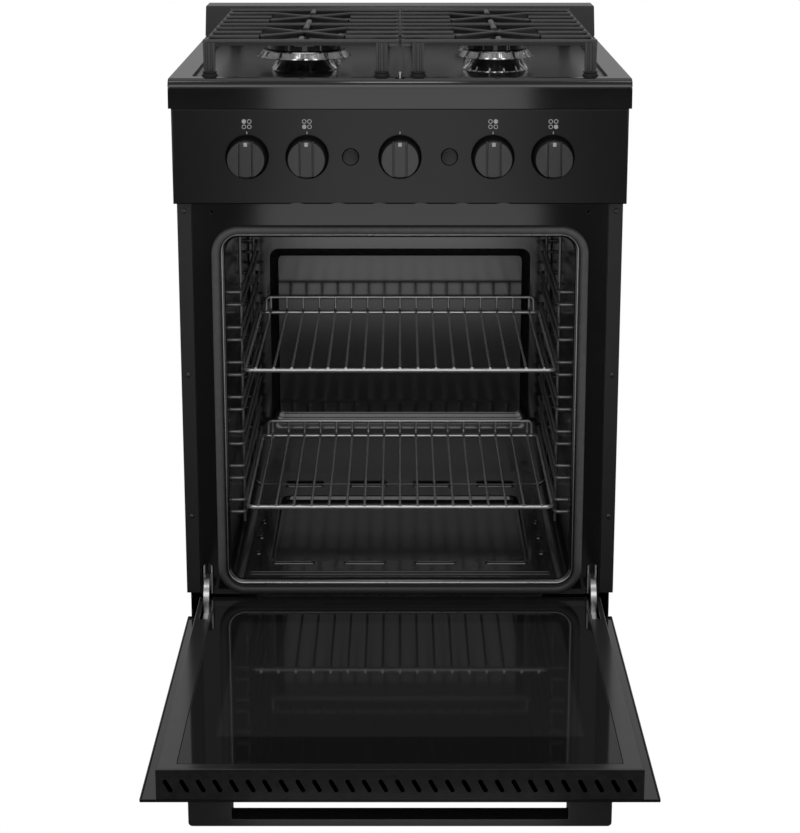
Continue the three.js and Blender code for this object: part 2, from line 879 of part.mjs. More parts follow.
function makeControls() {
  const knobBack = fasciaFace - knobStandoff;
  const body = turned([
    [0, knobDepth],
    [knobFaceRadius - edgeChamfer, knobDepth],
    [knobFaceRadius, knobDepth - edgeChamfer],
    [knobFaceRadius, skirtThickness],
    [skirtRadius, skirtThickness - edgeChamfer],
    [skirtRadius, 0],
    [0, 0],
  ]);
  const grooveZ = [knobDepth - gripSink, knobDepth + over];
  const grooves = sides.map(({ sign }) => {
    const edges = [sign * gripWidth / 2, sign * (gripWidth / 2 + gripGroove)];
    return block(
      [Math.min(...edges), Math.max(...edges)],
      [-knobFaceRadius - over, knobFaceRadius + over],
      grooveZ,
    );
  });
  const bore = prism(circle(0, 0, stemRadius + gap, smallSides), 'z', [-over, knobBore]);
  const knob = cut(body, [...grooves, bore]);

  const stemFront = knobBack - knobBore + gap;
  const stemBack = valveFront + stemBore - stemEndClearance;
  const stem = rod([0, 0, 0], [0, 0, stemBack - stemFront], stemRadius, smallSides);
  knobs.forEach(({ name, x }) => {
    placeControl(`stem_${name}`, stem, hingeSteel, x, stemBack);
    placeControl(`knob_${name}`, knob, blackPlastic, x, knobBack);
  });

  // A button's local zero is its plunger's inner end.
  const collarTop = buttonPlungerLength + buttonBody - buttonStandout - fasciaWall - gap;
  const button = turned([
    [0, buttonPlungerLength + buttonBody],
    [buttonRadius - edgeChamfer, buttonPlungerLength + buttonBody],
    [buttonRadius, buttonPlungerLength + buttonBody - edgeChamfer],
    [buttonRadius, collarTop],
    [buttonRadius + buttonCollar, collarTop],
    [buttonRadius + buttonCollar, collarTop - buttonCollar],
    [buttonRadius, collarTop - buttonCollar],
    [buttonRadius, buttonPlungerLength],
    [buttonPlungerRadius, buttonPlungerLength],
    [buttonPlungerRadius, 0],
    [0, 0],
  ], smallSides);
  const buttonBack = fasciaFace - buttonStandout + buttonBody + buttonPlungerLength;
  sides.forEach(({ name, sign }) => {
    placeControl(`button_${name}`, button, blackPlastic, sign * buttonX, buttonBack);
  });
}

function makeSwitchBracket() {
  const z = [controlHeight - bracketHeight / 2, controlHeight + bracketHeight / 2];
  const plateY = [bracketFace, bracketFace + sheet];
  const halfX = buttonX + bracketReach;
  const plate = block([-halfX, halfX], plateY, z);
  const postFront = fasciaFace + fasciaWall + gap;
  const posts = sides.flatMap(({ sign }) => z.map((edge, end) => {
    const x = sign * (halfX - bracketPostInset);
    const height = edge + (end === 0 ? bracketPostInset : -bracketPostInset);
    return rod([x, postFront, height], [x, plateY[1], height], bracketPostRadius, holeSides);
  }));
  const through = [bracketFace - over, bracketFace + sheet + over];
  const holes = [
    prism(circle(0, controlHeight, bracketStemHole, smallSides), 'y', through),
    ...sides.map(({ sign }) => (
      prism(circle(sign * buttonX, controlHeight, buttonPlungerRadius + gap, smallSides), 'y', through)
    )),
  ];
  place('switch_bracket', cut(join([plate, ...posts]), holes), galvanised);
}

function makeGasTrain() {
  const bore = (x) => prism(
    circle(x, controlHeight, stemRadius + gap, smallSides),
    'y',
    [valveFront - over, valveFront + stemBore],
  );
  const halfTube = sideInner - gap;
  const tube = rod(
    [-halfTube, manifoldY, controlHeight],
    [halfTube, manifoldY, controlHeight],
    manifoldRadius,
    smallSides,
  );
  const burnerKnobs = knobs.filter(({ name }) => name !== 'oven');
  const valves = burnerKnobs.map(({ x }) => block(
    [x - valveWidth / 2, x + valveWidth / 2],
    [valveFront, manifoldY],
    [controlHeight - valveWidth / 2, controlHeight + valveWidth / 2],
  ));
  const riser = rod(
    [inletX, manifoldY, controlHeight],
    [inletX, manifoldY, inletZ + feedPipeRadius],
    feedPipeRadius,
    smallSides,
  );
  const feed = rod(
    [inletX, manifoldY, inletZ],
    [inletX, rangeDepth - gap, inletZ],
    feedPipeRadius,
    smallSides,
  );
  const bores = burnerKnobs.map(({ x }) => bore(x));
  place('gas_manifold', cut(join([tube, ...valves, riser, feed]), bores), valveBrass);

  const thermostat = block(
    [-thermostatWidth / 2, thermostatWidth / 2],
    [valveFront, manifoldY - manifoldRadius - gap],
    [controlHeight - thermostatHeight / 2, controlHeight + thermostatHeight / 2],
  );
  place('oven_thermostat', thermostat.subtract(bore(0)), valveBrass);
}

// ---- Cooktop, backguard, burners and grates ----

// Side view of the cooktop's apron and top, drawn inwards from its outer faces.
function cooktopProfile(inset) {
  const top = cooktopHeight - inset;
  const centre = [bullnoseRadius, cooktopHeight - bullnoseRadius];
  return new THREE.Shape([
    new THREE.Vector2(inset, apronBottom - inset),
    new THREE.Vector2(rangeDepth + inset, apronBottom - inset),
    new THREE.Vector2(rangeDepth + inset, top),
    ...arcPoints(...centre, bullnoseRadius - inset, 90, 180, bendSteps),
  ]);
}

function makeCooktop() {
  const outer = prism(cooktopProfile(0), 'x', [-halfRange, halfRange]);
  const inner = prism(cooktopProfile(sheet), 'x', [-halfRange + sheet, halfRange - sheet]);
  const lip = block([-halfRange, halfRange], [0, apronLip], [apronBottom, apronBottom + sheet]);
  const wellX = [-wellHalfX, wellHalfX];
  const wellY = [wellFront, wellBack];
  const pan = prism(
    roundedRectangle(
      [wellX[0] - sheet, wellX[1] + sheet],
      [wellY[0] - sheet, wellY[1] + sheet],
      wellRadius + sheet,
    ),
    'z',
    [wellFloor - sheet, cooktopHeight],
  );
  const well = prism(roundedRectangle(wellX, wellY, wellRadius), 'z', [wellFloor, cooktopHeight + over]);
  const holes = burners.map(({ x, y }) => (
    prism(circle(x, y, throatRadius + gap), 'z', [wellFloor - sheet - over, wellFloor + over])
  ));
  const solid = cut(join([outer.subtract(inner), lip, pan]), [well, ...holes]);
  place('cooktop', solid, blackEnamel);
}

function backguardProfile(inset) {
  const bottom = cooktopHeight + gap - inset;
  const top = cooktopHeight + backguardHeight - inset;
  return new THREE.Shape([
    new THREE.Vector2(backguardFront + inset, bottom),
    new THREE.Vector2(rangeDepth - inset, bottom),
    new THREE.Vector2(rangeDepth - inset, top),
    new THREE.Vector2(backguardFront + backguardLean + inset, top),
  ]);
}

function makeBackguard() {
  const outer = prism(backguardProfile(0), 'x', [-halfRange, halfRange]);
  const inner = prism(backguardProfile(sheet), 'x', [-halfRange + sheet, halfRange - sheet]);
  const slotBottom = cooktopHeight + backguardHeight / 2;
  const slots = Array.from({ length: backguardSlotCount }, (_, i) => {
    const x = (i - (backguardSlotCount - 1) / 2) * backguardSlotPitch;
    return block(
      [x - backguardSlotWidth / 2, x + backguardSlotWidth / 2],
      [rangeDepth - sheet - over, rangeDepth + over],
      [slotBottom, slotBottom + backguardSlotHeight],
    );
  });
  place('backguard', cut(outer, [inner, ...slots]), blackSteel);
}

function makeBurners() {
  const capBottom = crownTop + gap;
  burners.forEach(({ name, x, y, crown }) => {
    const crownSolid = turned([
      [0, crownTop],
      [crown - crownTaper, crownTop],
      [crown, crownBottom],
      [baseNeckRadius, crownUnderside],
      [baseFlareRadius, gap],
      [throatRadius, gap],
      [throatRadius, -throatDrop],
      [0, -throatDrop],
    ]);
    const capEdge = crown - capInset;
    const capSolid = turned([
      [0, capBottom + capThickness],
      [capEdge - capRound, capBottom + capThickness],
      [capEdge, capBottom + capThickness - capRound],
      [capEdge, capBottom],
      [0, capBottom],
    ]);
    place(`burner_crown_${name}`, crownSolid, crownAluminium, [x, y, wellFloor]);
    place(`burner_cap_${name}`, capSolid, blackEnamel, [x, y, wellFloor]);
  });

  const supportTop = wellFloor - throatDrop - gap;
  const halfX = sideInner - gap;
  [['front', frontBurnerY], ['rear', backBurnerY]].forEach(([name, y]) => {
    const outer = block(
      [-halfX, halfX],
      [y - supportWidth / 2, y + supportWidth / 2],
      [supportTop - supportHeight, supportTop],
    );
    const inner = block(
      [-halfX - over, halfX + over],
      [y - supportWidth / 2 + sheet, y + supportWidth / 2 - sheet],
      [supportTop - supportHeight - over, supportTop - sheet],
    );
    place(`burner_support_${name}`, outer.subtract(inner), galvanised);
  });
}

// A flat bar between two points of the grate's plan, with square ends.
function grateBar([x0, y0], [x1, y1], width = grateBarWidth, depth = grateBarDepth) {
  const length = Math.hypot(x1 - x0, y1 - y0);
  const geometry = new THREE.BoxGeometry(length, width, depth);
  geometry.rotateZ(Math.atan2(y1 - y0, x1 - x0));
  geometry.translate((x0 + x1) / 2, (y0 + y1) / 2, grateTop - depth / 2);
  return toSolid(geometry);
}

function makeGrate({ name, sign }) {
  const half = grateBarWidth / 2;
  const left = grateCentreGap + grateRailWidth / 2;
  const right = grateHalfX - grateRailWidth / 2;
  const first = grateBarY(0);
  const last = grateBarY(grateBars - 1);
  const bars = [left, right].map((x) => (
    grateBar([x, first - half], [x, last + half], grateRailWidth)
  ));
  [first, last].forEach((y) => bars.push(
    grateBar([grateCentreGap, y], [grateHalfX, y], grateBarWidth, grateRimDepth),
  ));
  const middle = grateBarY(middleBar);
  bars.push(grateBar([left, middle], [right, middle]));
  [frontBurnerBar, backBurnerBar].forEach((centre) => {
    const centreY = grateBarY(centre);
    const [near, far] = [grateBarY(centre - 1), grateBarY(centre + 1)];
    const [inner, outer] = [burnerX - fingerSpread, burnerX + fingerSpread];
    [near, centreY, far].forEach((y) => {
      bars.push(grateBar([left, y], [inner, y]));
      bars.push(grateBar([outer, y], [right, y]));
    });
    bars.push(grateBar([inner, near], [outer, far]));
    bars.push(grateBar([inner, far], [outer, near]));
  });
  bars.push(grateBar([burnerX, first], [burnerX, first + fingerReach]));
  bars.push(grateBar([burnerX, middle - fingerReach], [burnerX, middle + fingerReach]));
  bars.push(grateBar([burnerX, last - fingerReach], [burnerX, last]));

  const legZ = [wellFloor + gap, grateTop - grateRimDepth + over];
  const legXs = [[innerLegX, innerLegX + grateLegWidth], [grateHalfX - grateLegWidth, grateHalfX]];
  [first, last].forEach((y) => legXs.forEach((x) => {
    bars.push(block(x, [y - half, y + half], legZ));
  }));
  place(`grate_${name}`, mirrored(join(bars), sign), castIron);
}

// ---- Door, modelled closed about its pivot line, then swung open ----

const pivotY = frontPlane - pivotSetoff;
const doorLine = new THREE.Group();
doorLine.position.set(0, pivotY, pivotZ);
doorLine.rotation.x = THREE.MathUtils.degToRad(doorAngle);
range.add(doorLine);

const skinFace = -pivotY;
const doorTopEdge = doorTop - pivotZ;
const skinInner = skinFace + sheet;
const linerEdge = skinInner + gap;
const doorHalfX = halfRange - doorSideInset;
const linerHalfX = doorHalfX - linerSideInset;
const linerY = -linerFace;
const glassBed = linerY - glassThickness - gap;
const innerGlassHalfX = linerHalfX - innerGlassSideInset;
const innerGlassZ = [innerGlassBottom, doorTopEdge - innerGlassTopInset];
const windowHalfX = innerGlassHalfX - windowSideInset;
const windowZ = [innerGlassZ[0] + windowBottomInset, innerGlassZ[1] - windowTopInset];
const outerWindowHalfX = windowHalfX - outerWindowSideInset;
const outerWindowZ = [windowZ[0] + outerWindowBottomInset, windowZ[1] - outerWindowTopInset];

function windowCut(halfX, [low, high], y) {
  return prism(roundedRectangle([-halfX, halfX], [low, high], windowRadius), 'y', y);
}

function makeDoorSkin() {
  const z = [-doorBelowPivot, doorTopEdge];
  const outer = block([-doorHalfX, doorHalfX], [skinFace, skinFace + skinReturn], z);
  const inner = block(
    [-doorHalfX + sheet, doorHalfX - sheet],
    [skinInner, skinFace + skinReturn + over],
    [z[0] + sheet, z[1] - sheet],
  );
  const opening = windowCut(outerWindowHalfX, outerWindowZ, [skinFace - over, skinInner + over]);
  place('door_skin', cut(outer, [inner, opening]), blackSteel, [0, 0, 0], doorLine);
}

function makeDoorLiner() {
  const stripBack = doorTopEdge - sheet - gap;
  const outer = block([-linerHalfX, linerHalfX], [linerEdge, linerY], [-linerTuck, stripBack]);
  const inner = block(
    [-linerHalfX + sheet, linerHalfX - sheet],
    [linerEdge - over, linerY - sheet],
    [-linerTuck + sheet, stripBack + over],
  );
  const bed = block(
    [-innerGlassHalfX - gap - sheet, innerGlassHalfX + gap + sheet],
    [glassBed - sheet, linerY - sheet / 2],
    [innerGlassZ[0] - gap - sheet, innerGlassZ[1] + gap + sheet],
  );
  const recess = block(
    [-innerGlassHalfX - gap, innerGlassHalfX + gap],
    [glassBed, linerY + over],
    [innerGlassZ[0] - gap, innerGlassZ[1] + gap],
  );
  const window = windowCut(windowHalfX, windowZ, [glassBed - sheet - over, linerY + over]);
  const armSlotHalfX = armThickness / 2 + armSlotMargin;
  const armSlots = sides.map(({ sign }) => block(
    [sign * hingeX - armSlotHalfX, sign * hingeX + armSlotHalfX],
    [linerY - sheet - over, linerY + over],
    [armInnerRadius - armSlotMargin, armRadius + armSlotMargin],
  ));
  const solid = cut(outer.subtract(inner).add(bed), [recess, window, ...armSlots]);
  place('door_liner', solid, blackSteel, [0, 0, 0], doorLine);
}

function makeDoorGlass() {
  const inner = block([-innerGlassHalfX, innerGlassHalfX], [linerY - glassThickness, linerY], innerGlassZ);
  place('door_inner_glass', inner, darkGlass, [0, 0, 0], doorLine);
  const outer = block(
    [-outerWindowHalfX - outerGlassLap, outerWindowHalfX + outerGlassLap],
    [linerEdge, linerEdge + glassThickness],
    [outerWindowZ[0] - outerGlassLap, outerWindowZ[1] + outerGlassLap],
  );
  place('door_outer_glass', outer, darkGlass, [0, 0, 0], doorLine);
}

function makeVentStrip() {
  const y = [skinFace + skinReturn + gap, linerY];
  const z = [doorTopEdge - sheet, doorTopEdge];
  const middle = (y[0] + y[1]) / 2;
  const lean = THREE.MathUtils.degToRad(ventSlotLean);
  const slotCount = Math.floor(2 * linerHalfX / ventSlotPitch);
  const slots = Array.from({ length: slotCount }, (_, i) => {
    const x = (i - (slotCount - 1) / 2) * ventSlotPitch;
    const geometry = new THREE.BoxGeometry(ventSlotWidth, ventSlotLength, sheet + 2 * over);
    geometry.rotateZ(lean);
    geometry.translate(x, middle, (z[0] + z[1]) / 2);
    return toSolid(geometry);
  });
  const strip = cut(block([-linerHalfX, linerHalfX], y, z), slots);
  place('door_vent_strip', strip, blackSteel, [0, 0, 0], doorLine);
}

function makeDoorHandle() {
  const front = skinFace - handleStandoff;
  const back = skinFace - gap;
  const half = handleWidth / 2;
  const outline = new THREE.Shape([
    ...arcPoints(-half + handleRadius, front + handleRadius, handleRadius, 180, 270, bendSteps),
    ...arcPoints(half - handleRadius, front + handleRadius, handleRadius, 270, 360, bendSteps),
    new THREE.Vector2(half, back),
    new THREE.Vector2(half - handlePost, back),
    new THREE.Vector2(half - handlePost, front + handleBar),
    new THREE.Vector2(-half + handlePost, front + handleBar),
    new THREE.Vector2(-half + handlePost, back),
    new THREE.Vector2(-half, back),
  ]);
  const top = doorTopEdge - handleTopInset;
  const handle = prism(outline, 'z', [top - handleHeight, top]);
  place('door_handle', handle, blackSteel, [0, 0, 0], doorLine);
}

function makeHinge({ name, sign }) {
  const halfArm = armThickness / 2;
  const armX = [sign * hingeX - halfArm, sign * hingeX + halfArm];
  const sector = new THREE.Shape([
    ...arcPoints(0, 0, armRadius, armSweep[0], armSweep[1], armSteps),
    ...arcPoints(0, 0, armInnerRadius, armSweep[1], armSweep[0], armSteps),
  ]);
  const armBack = over - armInnerRadius;
  const bar = block(
    armX,
    [armBack - armHeight, armBack],
    [armInnerRadius, armInnerRadius + armLength],
  );
  const neck = block(armX, [armBack - armHeight, over], [armInnerRadius, armRadius - over]);
  const arm = join([prism(sector, 'x', armX), bar, neck]);
  place(`hinge_arm_${name}`, arm, hingeSteel, [0, 0, 0], doorLine);

  const z = [frameBottom + gap, frameBottom + housingHeight];
  const outer = block(
    [sign * hingeX - housingHalfX, sign * hingeX + housingHalfX],
    [linerFront, linerFront + housingDepth],
    z,
  );
  const inner = block(
    [sign * hingeX - halfArm - gap, sign * hingeX + halfArm + gap],
    [linerFront - over, linerFront + housingDepth - housingWall],
    [z[0] - over, z[1] - housingWall],
  );
  place(`hinge_housing_${name}`, outer.subtract(inner), galvanised);
}

// ---- Build ----

makeFeet();
makeBasePan();
sides.forEach(makeSidePanel);
makeBackPanel();
makeKickPanel();
makeFrontFrame();
makeOvenLiner();
makeGasket();
makeOvenFloor();
makeOvenBurner();
makeOvenLamp();
sides.forEach(makeLadder);
makeRack('rack_upper', upperRackRow);
makeRack('rack_lower', lowerRackRow);
makeFascia();
makeControls();
makeSwitchBracket();
makeGasTrain();
makeCooktop();
makeBackguard();
makeBurners();
sides.forEach(makeGrate);
makeDoorSkin();
makeDoorLiner();
makeDoorGlass();
makeVentStrip();
makeDoorHandle();
sides.forEach(makeHinge);

// The origin is on the floor, midway between the open door's far edge and the back of the range.
const openDoorFront = pivotY - doorTopEdge;
range.position.y = -(openDoorFront + rangeDepth) / 2;

export default range;
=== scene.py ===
# Freestanding gas range with its oven door open: finished pieces, materials, light and camera.
# Lengths in the dictionaries are millimetres. x runs from the middle of the range, y from the face of
# the closed door towards the wall, z from the floor.
from math import atan2, cos, degrees, pi, radians, sin

import bmesh
import bpy
from mathutils import Matrix, Vector


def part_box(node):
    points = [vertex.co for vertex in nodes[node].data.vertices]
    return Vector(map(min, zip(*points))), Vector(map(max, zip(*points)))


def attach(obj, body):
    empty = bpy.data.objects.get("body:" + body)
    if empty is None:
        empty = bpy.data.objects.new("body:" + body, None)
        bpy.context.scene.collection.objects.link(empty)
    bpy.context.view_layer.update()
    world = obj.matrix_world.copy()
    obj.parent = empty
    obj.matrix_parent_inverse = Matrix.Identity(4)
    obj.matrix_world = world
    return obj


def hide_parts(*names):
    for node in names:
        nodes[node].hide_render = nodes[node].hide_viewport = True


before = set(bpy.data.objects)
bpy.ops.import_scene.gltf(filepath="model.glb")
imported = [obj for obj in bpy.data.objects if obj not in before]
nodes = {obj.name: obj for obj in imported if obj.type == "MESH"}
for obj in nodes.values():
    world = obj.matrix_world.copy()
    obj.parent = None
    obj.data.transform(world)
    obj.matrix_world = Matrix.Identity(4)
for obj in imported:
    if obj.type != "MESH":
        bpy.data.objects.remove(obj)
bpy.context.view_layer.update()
print("frame loaded,", len(nodes), "nodes")

mm = 0.001
weld = 0.002  # points nearer to each other than this become one
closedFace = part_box("cooktop")[0].y  # where y = 0 lies in the frame
toFrame = Matrix.Translation((0, closedFace, 0)) @ Matrix.Scale(mm, 4)


def shiftBy(x, y, z):
    return Matrix.Translation((x, y, z))


def turnBy(angle, axis):
    return Matrix.Rotation(radians(angle), 4, axis)


facing = turnBy(90, "X")  # takes what points up to what points out of the front


def span(node):
    # lowest and highest corner of a node, in the millimetres of this file
    start = Vector((0, closedFace, 0))
    return [(corner - start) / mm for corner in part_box(node)]


def middleOf(node):
    low, high = span(node)
    return (low.x + high.x) / 2, (low.y + high.y) / 2


def onSide(sign, near, far):
    # a width on the left (sign -1) or the right (sign 1), given by its distances from the middle
    return sorted((sign * near, sign * far))


# Outlines and solids. Everything is shaped in millimetres and scaled when a piece is added.

def arc(cx, cy, radius, start, end, steps):
    angles = [radians(start + (end - start) * i / steps) for i in range(steps + 1)]
    return [(cx + radius * cos(a), cy + radius * sin(a)) for a in angles]


def roundedRect(x0, x1, y0, y1, radius, steps=6):
    return (
        arc(x1 - radius, y0 + radius, radius, -90, 0, steps)
        + arc(x1 - radius, y1 - radius, radius, 0, 90, steps)
        + arc(x0 + radius, y1 - radius, radius, 90, 180, steps)
        + arc(x0 + radius, y0 + radius, radius, 180, 270, steps)
    )


def onAxis(points, axis, depth):
    # a flat outline laid across an axis: (y, z) for x, (x, z) for y, (x, y) for z
    if axis == "x":
        return [(depth, a, b) for a, b in points]
    if axis == "y":
        return [(a, depth, b) for a, b in points]
    return [(a, b, depth) for a, b in points]


def loft(loops, capFirst=True, capLast=True, closed=False):
    bm = bmesh.new()
    rings = [[bm.verts.new(p) for p in loop] for loop in loops]
    pairs = list(zip(rings, rings[1:]))
    if closed:
        pairs.append((rings[-1], rings[0]))
    for a, b in pairs:
        count = len(a)
        for i in range(count):
            bm.faces.new((a[i], a[(i + 1) % count], b[(i + 1) % count], b[i]))
    if capFirst and not closed:
        bm.faces.new(list(reversed(rings[0])))
    if capLast and not closed:
        bm.faces.new(rings[-1])
    return tidy(bm)


def tidy(bm):
    bmesh.ops.remove_doubles(bm, verts=bm.verts, dist=weld)
    bmesh.ops.recalc_face_normals(bm, faces=bm.faces)
    return bm


def block(x, y, z):
    outline = [(x[0], y[0]), (x[1], y[0]), (x[1], y[1]), (x[0], y[1])]
    return loft([onAxis(outline, "z", z[0]), onAxis(outline, "z", z[1])])


def prism(outline, axis, a, b):
    return loft([onAxis(outline, axis, a), onAxis(outline, axis, b)])


def lathe(profile, sides=48):
    # profile of (radius, height) from foot to top, turned about z
    loops = []
    for radius, height in profile:
        loops.append([
            (radius * cos(2 * pi * i / sides), radius * sin(2 * pi * i / sides), height)
            for i in range(sides)
        ])
    return loft(loops)


def drill(radius, foot, top, sides, place):
    # a round tool, set where it cuts
    return moved(lathe([(radius, foot), (radius, top)], sides), place)


def longHole(x, y, length, width):
    # the outline of a slot with round ends, long in its first direction
    radius = width / 2
    reach = length / 2 - radius
    return arc(x + reach, y, radius, -90, 90, 6) + arc(x - reach, y, radius, 90, 270, 6)


def roundOff(profile, index, radius, steps=4):
    # swaps one corner of a lathe profile for a small arc
    before, corner, after = (Vector(profile[index + k]) for k in (-1, 0, 1))
    first, second = (before - corner).normalized(), (after - corner).normalized()
    reach = min(radius, (before - corner).length * 0.49, (after - corner).length * 0.49)
    a, b = corner + first * reach, corner + second * reach
    curve = []
    for i in range(steps + 1):
        t = i / steps
        curve.append(tuple(a * (1 - t) ** 2 + corner * 2 * t * (1 - t) + b * t * t))
    return profile[:index] + curve + profile[index + 1:]


def softLathe(profile, radius, sides=48, steps=4):
    # a lathe with every inner corner rounded off
    result = list(profile)
    for index in range(len(profile) - 2, 0, -1):
        result = roundOff(result, index, radius, steps)
    return lathe(result, sides)


def bevelEdges(bm, width, segments=3, angle=30):
    sharp = [e for e in bm.edges if len(e.link_faces) == 2 and degrees(e.calc_face_angle()) > angle]
    bmesh.ops.bevel(
        bm, geom=sharp, offset=width, offset_type="OFFSET", segments=segments,
        profile=0.5, affect="EDGES", clamp_overlap=True, miter_outer="ARC",
    )
    return bm


def moved(bm, matrix):
    bm.transform(matrix)
    if matrix.determinant() < 0:
        bmesh.ops.reverse_faces(bm, faces=bm.faces)
    return bm


def copyOf(bm, matrix=None):
    result = bm.copy()
    return moved(result, matrix) if matrix else result


def merged(parts):
    whole = bmesh.new()
    for part in parts:
        scratch = bpy.data.meshes.new("scratch")
        part.to_mesh(scratch)
        whole.from_mesh(scratch)
        bpy.data.meshes.remove(scratch)
    return whole


def scratchObject(bm, name="scratch"):
    mesh = bpy.data.meshes.new(name)
    bm.to_mesh(mesh)
    obj = bpy.data.objects.new(name, mesh)
    bpy.context.collection.objects.link(obj)
    return obj


def evaluated(obj):
    graph = bpy.context.evaluated_depsgraph_get()
    return bpy.data.meshes.new_from_object(obj.evaluated_get(graph))


def dropObject(obj):
    mesh = obj.data
    bpy.data.objects.remove(obj)
    if mesh.users == 0:
        bpy.data.meshes.remove(mesh)


def shapeOf(obj):
    # the shape of a scratch object after its modifiers; the object is dropped
    mesh = evaluated(obj)
    bm = bmesh.new()
    bm.from_mesh(mesh)
    bpy.data.meshes.remove(mesh)
    dropObject(obj)
    return bm


def flattened(bm, angle):
    # flat faces cut into pieces are made whole again
    bmesh.ops.remove_doubles(bm, verts=bm.verts, dist=weld)
    bmesh.ops.dissolve_limit(bm, angle_limit=radians(angle), verts=bm.verts, edges=bm.edges)
    return bm


def boolean(bm, tools, operation="DIFFERENCE"):
    target, tool = scratchObject(bm), scratchObject(merged(tools))
    cut = target.modifiers.new("cut", "BOOLEAN")
    cut.operation = operation
    cut.solver = "EXACT"
    cut.use_self = True
    cut.object = tool
    result = shapeOf(target)
    dropObject(tool)
    return flattened(result, 0.5)


def thickened(bm, thickness, even=False):
    # an open sheet gets its wall, on the side away from its normals
    sheet = scratchObject(bm)
    wall = sheet.modifiers.new("wall", "SOLIDIFY")
    wall.thickness = thickness
    wall.offset = -1
    wall.use_even_offset = even
    return shapeOf(sheet)


def roundFace(bm, y, width, corners=False):
    # rounds the edges of the flat face at y and, if asked, the corners that run back from it
    front = [e for e in bm.edges if all(abs(v.co.y - y) < 0.01 for v in e.verts)]
    back = [e for e in bm.edges if corners and abs(e.verts[0].co.y - e.verts[1].co.y) > 1]
    bmesh.ops.bevel(bm, geom=[*front, *back], offset=width, segments=4, profile=0.5, affect="EDGES")
    return bm


def fromNode(node):
    # a merged copy of a CAD node, in millimetres
    bm = bmesh.new()
    bm.from_mesh(nodes[node].data)
    bm.transform(toFrame.inverted())
    return flattened(bm, 1)


# Turning a finished shape into a piece.

pieceCount = 0


def addPiece(name, shape, paint, body, replaces=(), angle=32, place=None):
    # edges sharper than the angle stay crisp
    global pieceCount
    bm = shape if isinstance(shape, bmesh.types.BMesh) else merged(shape)
    if place is not None:
        moved(bm, place)
    bm.transform(toFrame)
    obj = scratchObject(bm, name)
    bm.free()
    flat = obj.data
    flat.polygons.foreach_set("use_smooth", [True] * len(flat.polygons))
    flat.set_sharp_from_angle(angle=radians(angle))
    weighted = obj.modifiers.new("weighted", "WEIGHTED_NORMAL")
    weighted.keep_sharp = True
    smooth = evaluated(obj)
    obj.modifiers.clear()
    obj.data = smooth
    bpy.data.meshes.remove(flat)
    smooth.name = name
    smooth.materials.clear()
    smooth.materials.append(finishes[paint])
    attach(obj, body)
    if replaces:
        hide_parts(*replaces)
    pieceCount += 1


# Node trees. An input is given a value, or linked when it is given another node's socket.

def setInput(tree, socket, value):
    if isinstance(value, bpy.types.NodeSocket):
        tree.links.new(value, socket)
    else:
        socket.default_value = value


def addNode(tree, kind, values=None, **settings):
    node = tree.nodes.new(kind)
    for key, value in settings.items():
        setattr(node, key, value)
    for label, value in (values or {}).items():
        setInput(tree, node.inputs[label], value)
    return node


def newTree(name, inputs):
    tree = bpy.data.node_groups.new(name, "GeometryNodeTree")
    for label, kind, value in (("Geometry", "Geometry", None), *inputs, ("Material", "Material", None)):
        socket = tree.interface.new_socket(label, in_out="INPUT", socket_type="NodeSocket" + kind)
        if value is not None:
            socket.default_value = value
    tree.interface.new_socket("Geometry", in_out="OUTPUT", socket_type="NodeSocketGeometry")
    return tree, tree.nodes.new("NodeGroupInput").outputs


def endTree(tree, source, given):
    realize = addNode(tree, "GeometryNodeRealizeInstances", {0: source})
    paint = addNode(tree, "GeometryNodeSetMaterial", {
        "Geometry": realize.outputs[0], "Material": given["Material"]})
    addNode(tree, "NodeGroupOutput", {0: paint.outputs[0]})
    return tree


# Nodes that several trees use; each of these gives a socket.

def maths(tree, operation, *values):
    return addNode(tree, "ShaderNodeMath", dict(enumerate(values)), operation=operation).outputs[0]


def mapped(tree, source, low, high, first=0, last=1):
    # a value that goes from first to last as the source goes from low to high
    return addNode(tree, "ShaderNodeMapRange", {
        "Value": source, "From Min": low, "From Max": high, "To Min": first, "To Max": last,
    }).outputs["Result"]


def blended(tree, factor, first, last):
    return addNode(tree, "ShaderNodeMix", {"Factor": factor, "A": first, "B": last}).outputs["Result"]


def colourBlend(tree, factor, first, last):
    colours = {0: factor, 6: grey(first), 7: grey(last)}
    return addNode(tree, "ShaderNodeMix", colours, data_type="RGBA").outputs[2]


def grey(value):
    # one number is a grey, three are a colour, and a socket stays as it is
    if isinstance(value, bpy.types.NodeSocket):
        return value
    return (value, value, value, 1) if isinstance(value, (int, float)) else (*value, 1)


def objectPlace(tree):
    return addNode(tree, "ShaderNodeTexCoord").outputs["Object"]


def splitPlace(tree):
    return addNode(tree, "ShaderNodeSeparateXYZ", {0: objectPlace(tree)}).outputs


def noise(tree, place, scale, detail, distortion=0):
    return addNode(tree, "ShaderNodeTexNoise", {
        "Vector": place, "Scale": scale, "Detail": detail, "Distortion": distortion}).outputs["Fac"]


# Geometry node trees for wire and for what repeats.

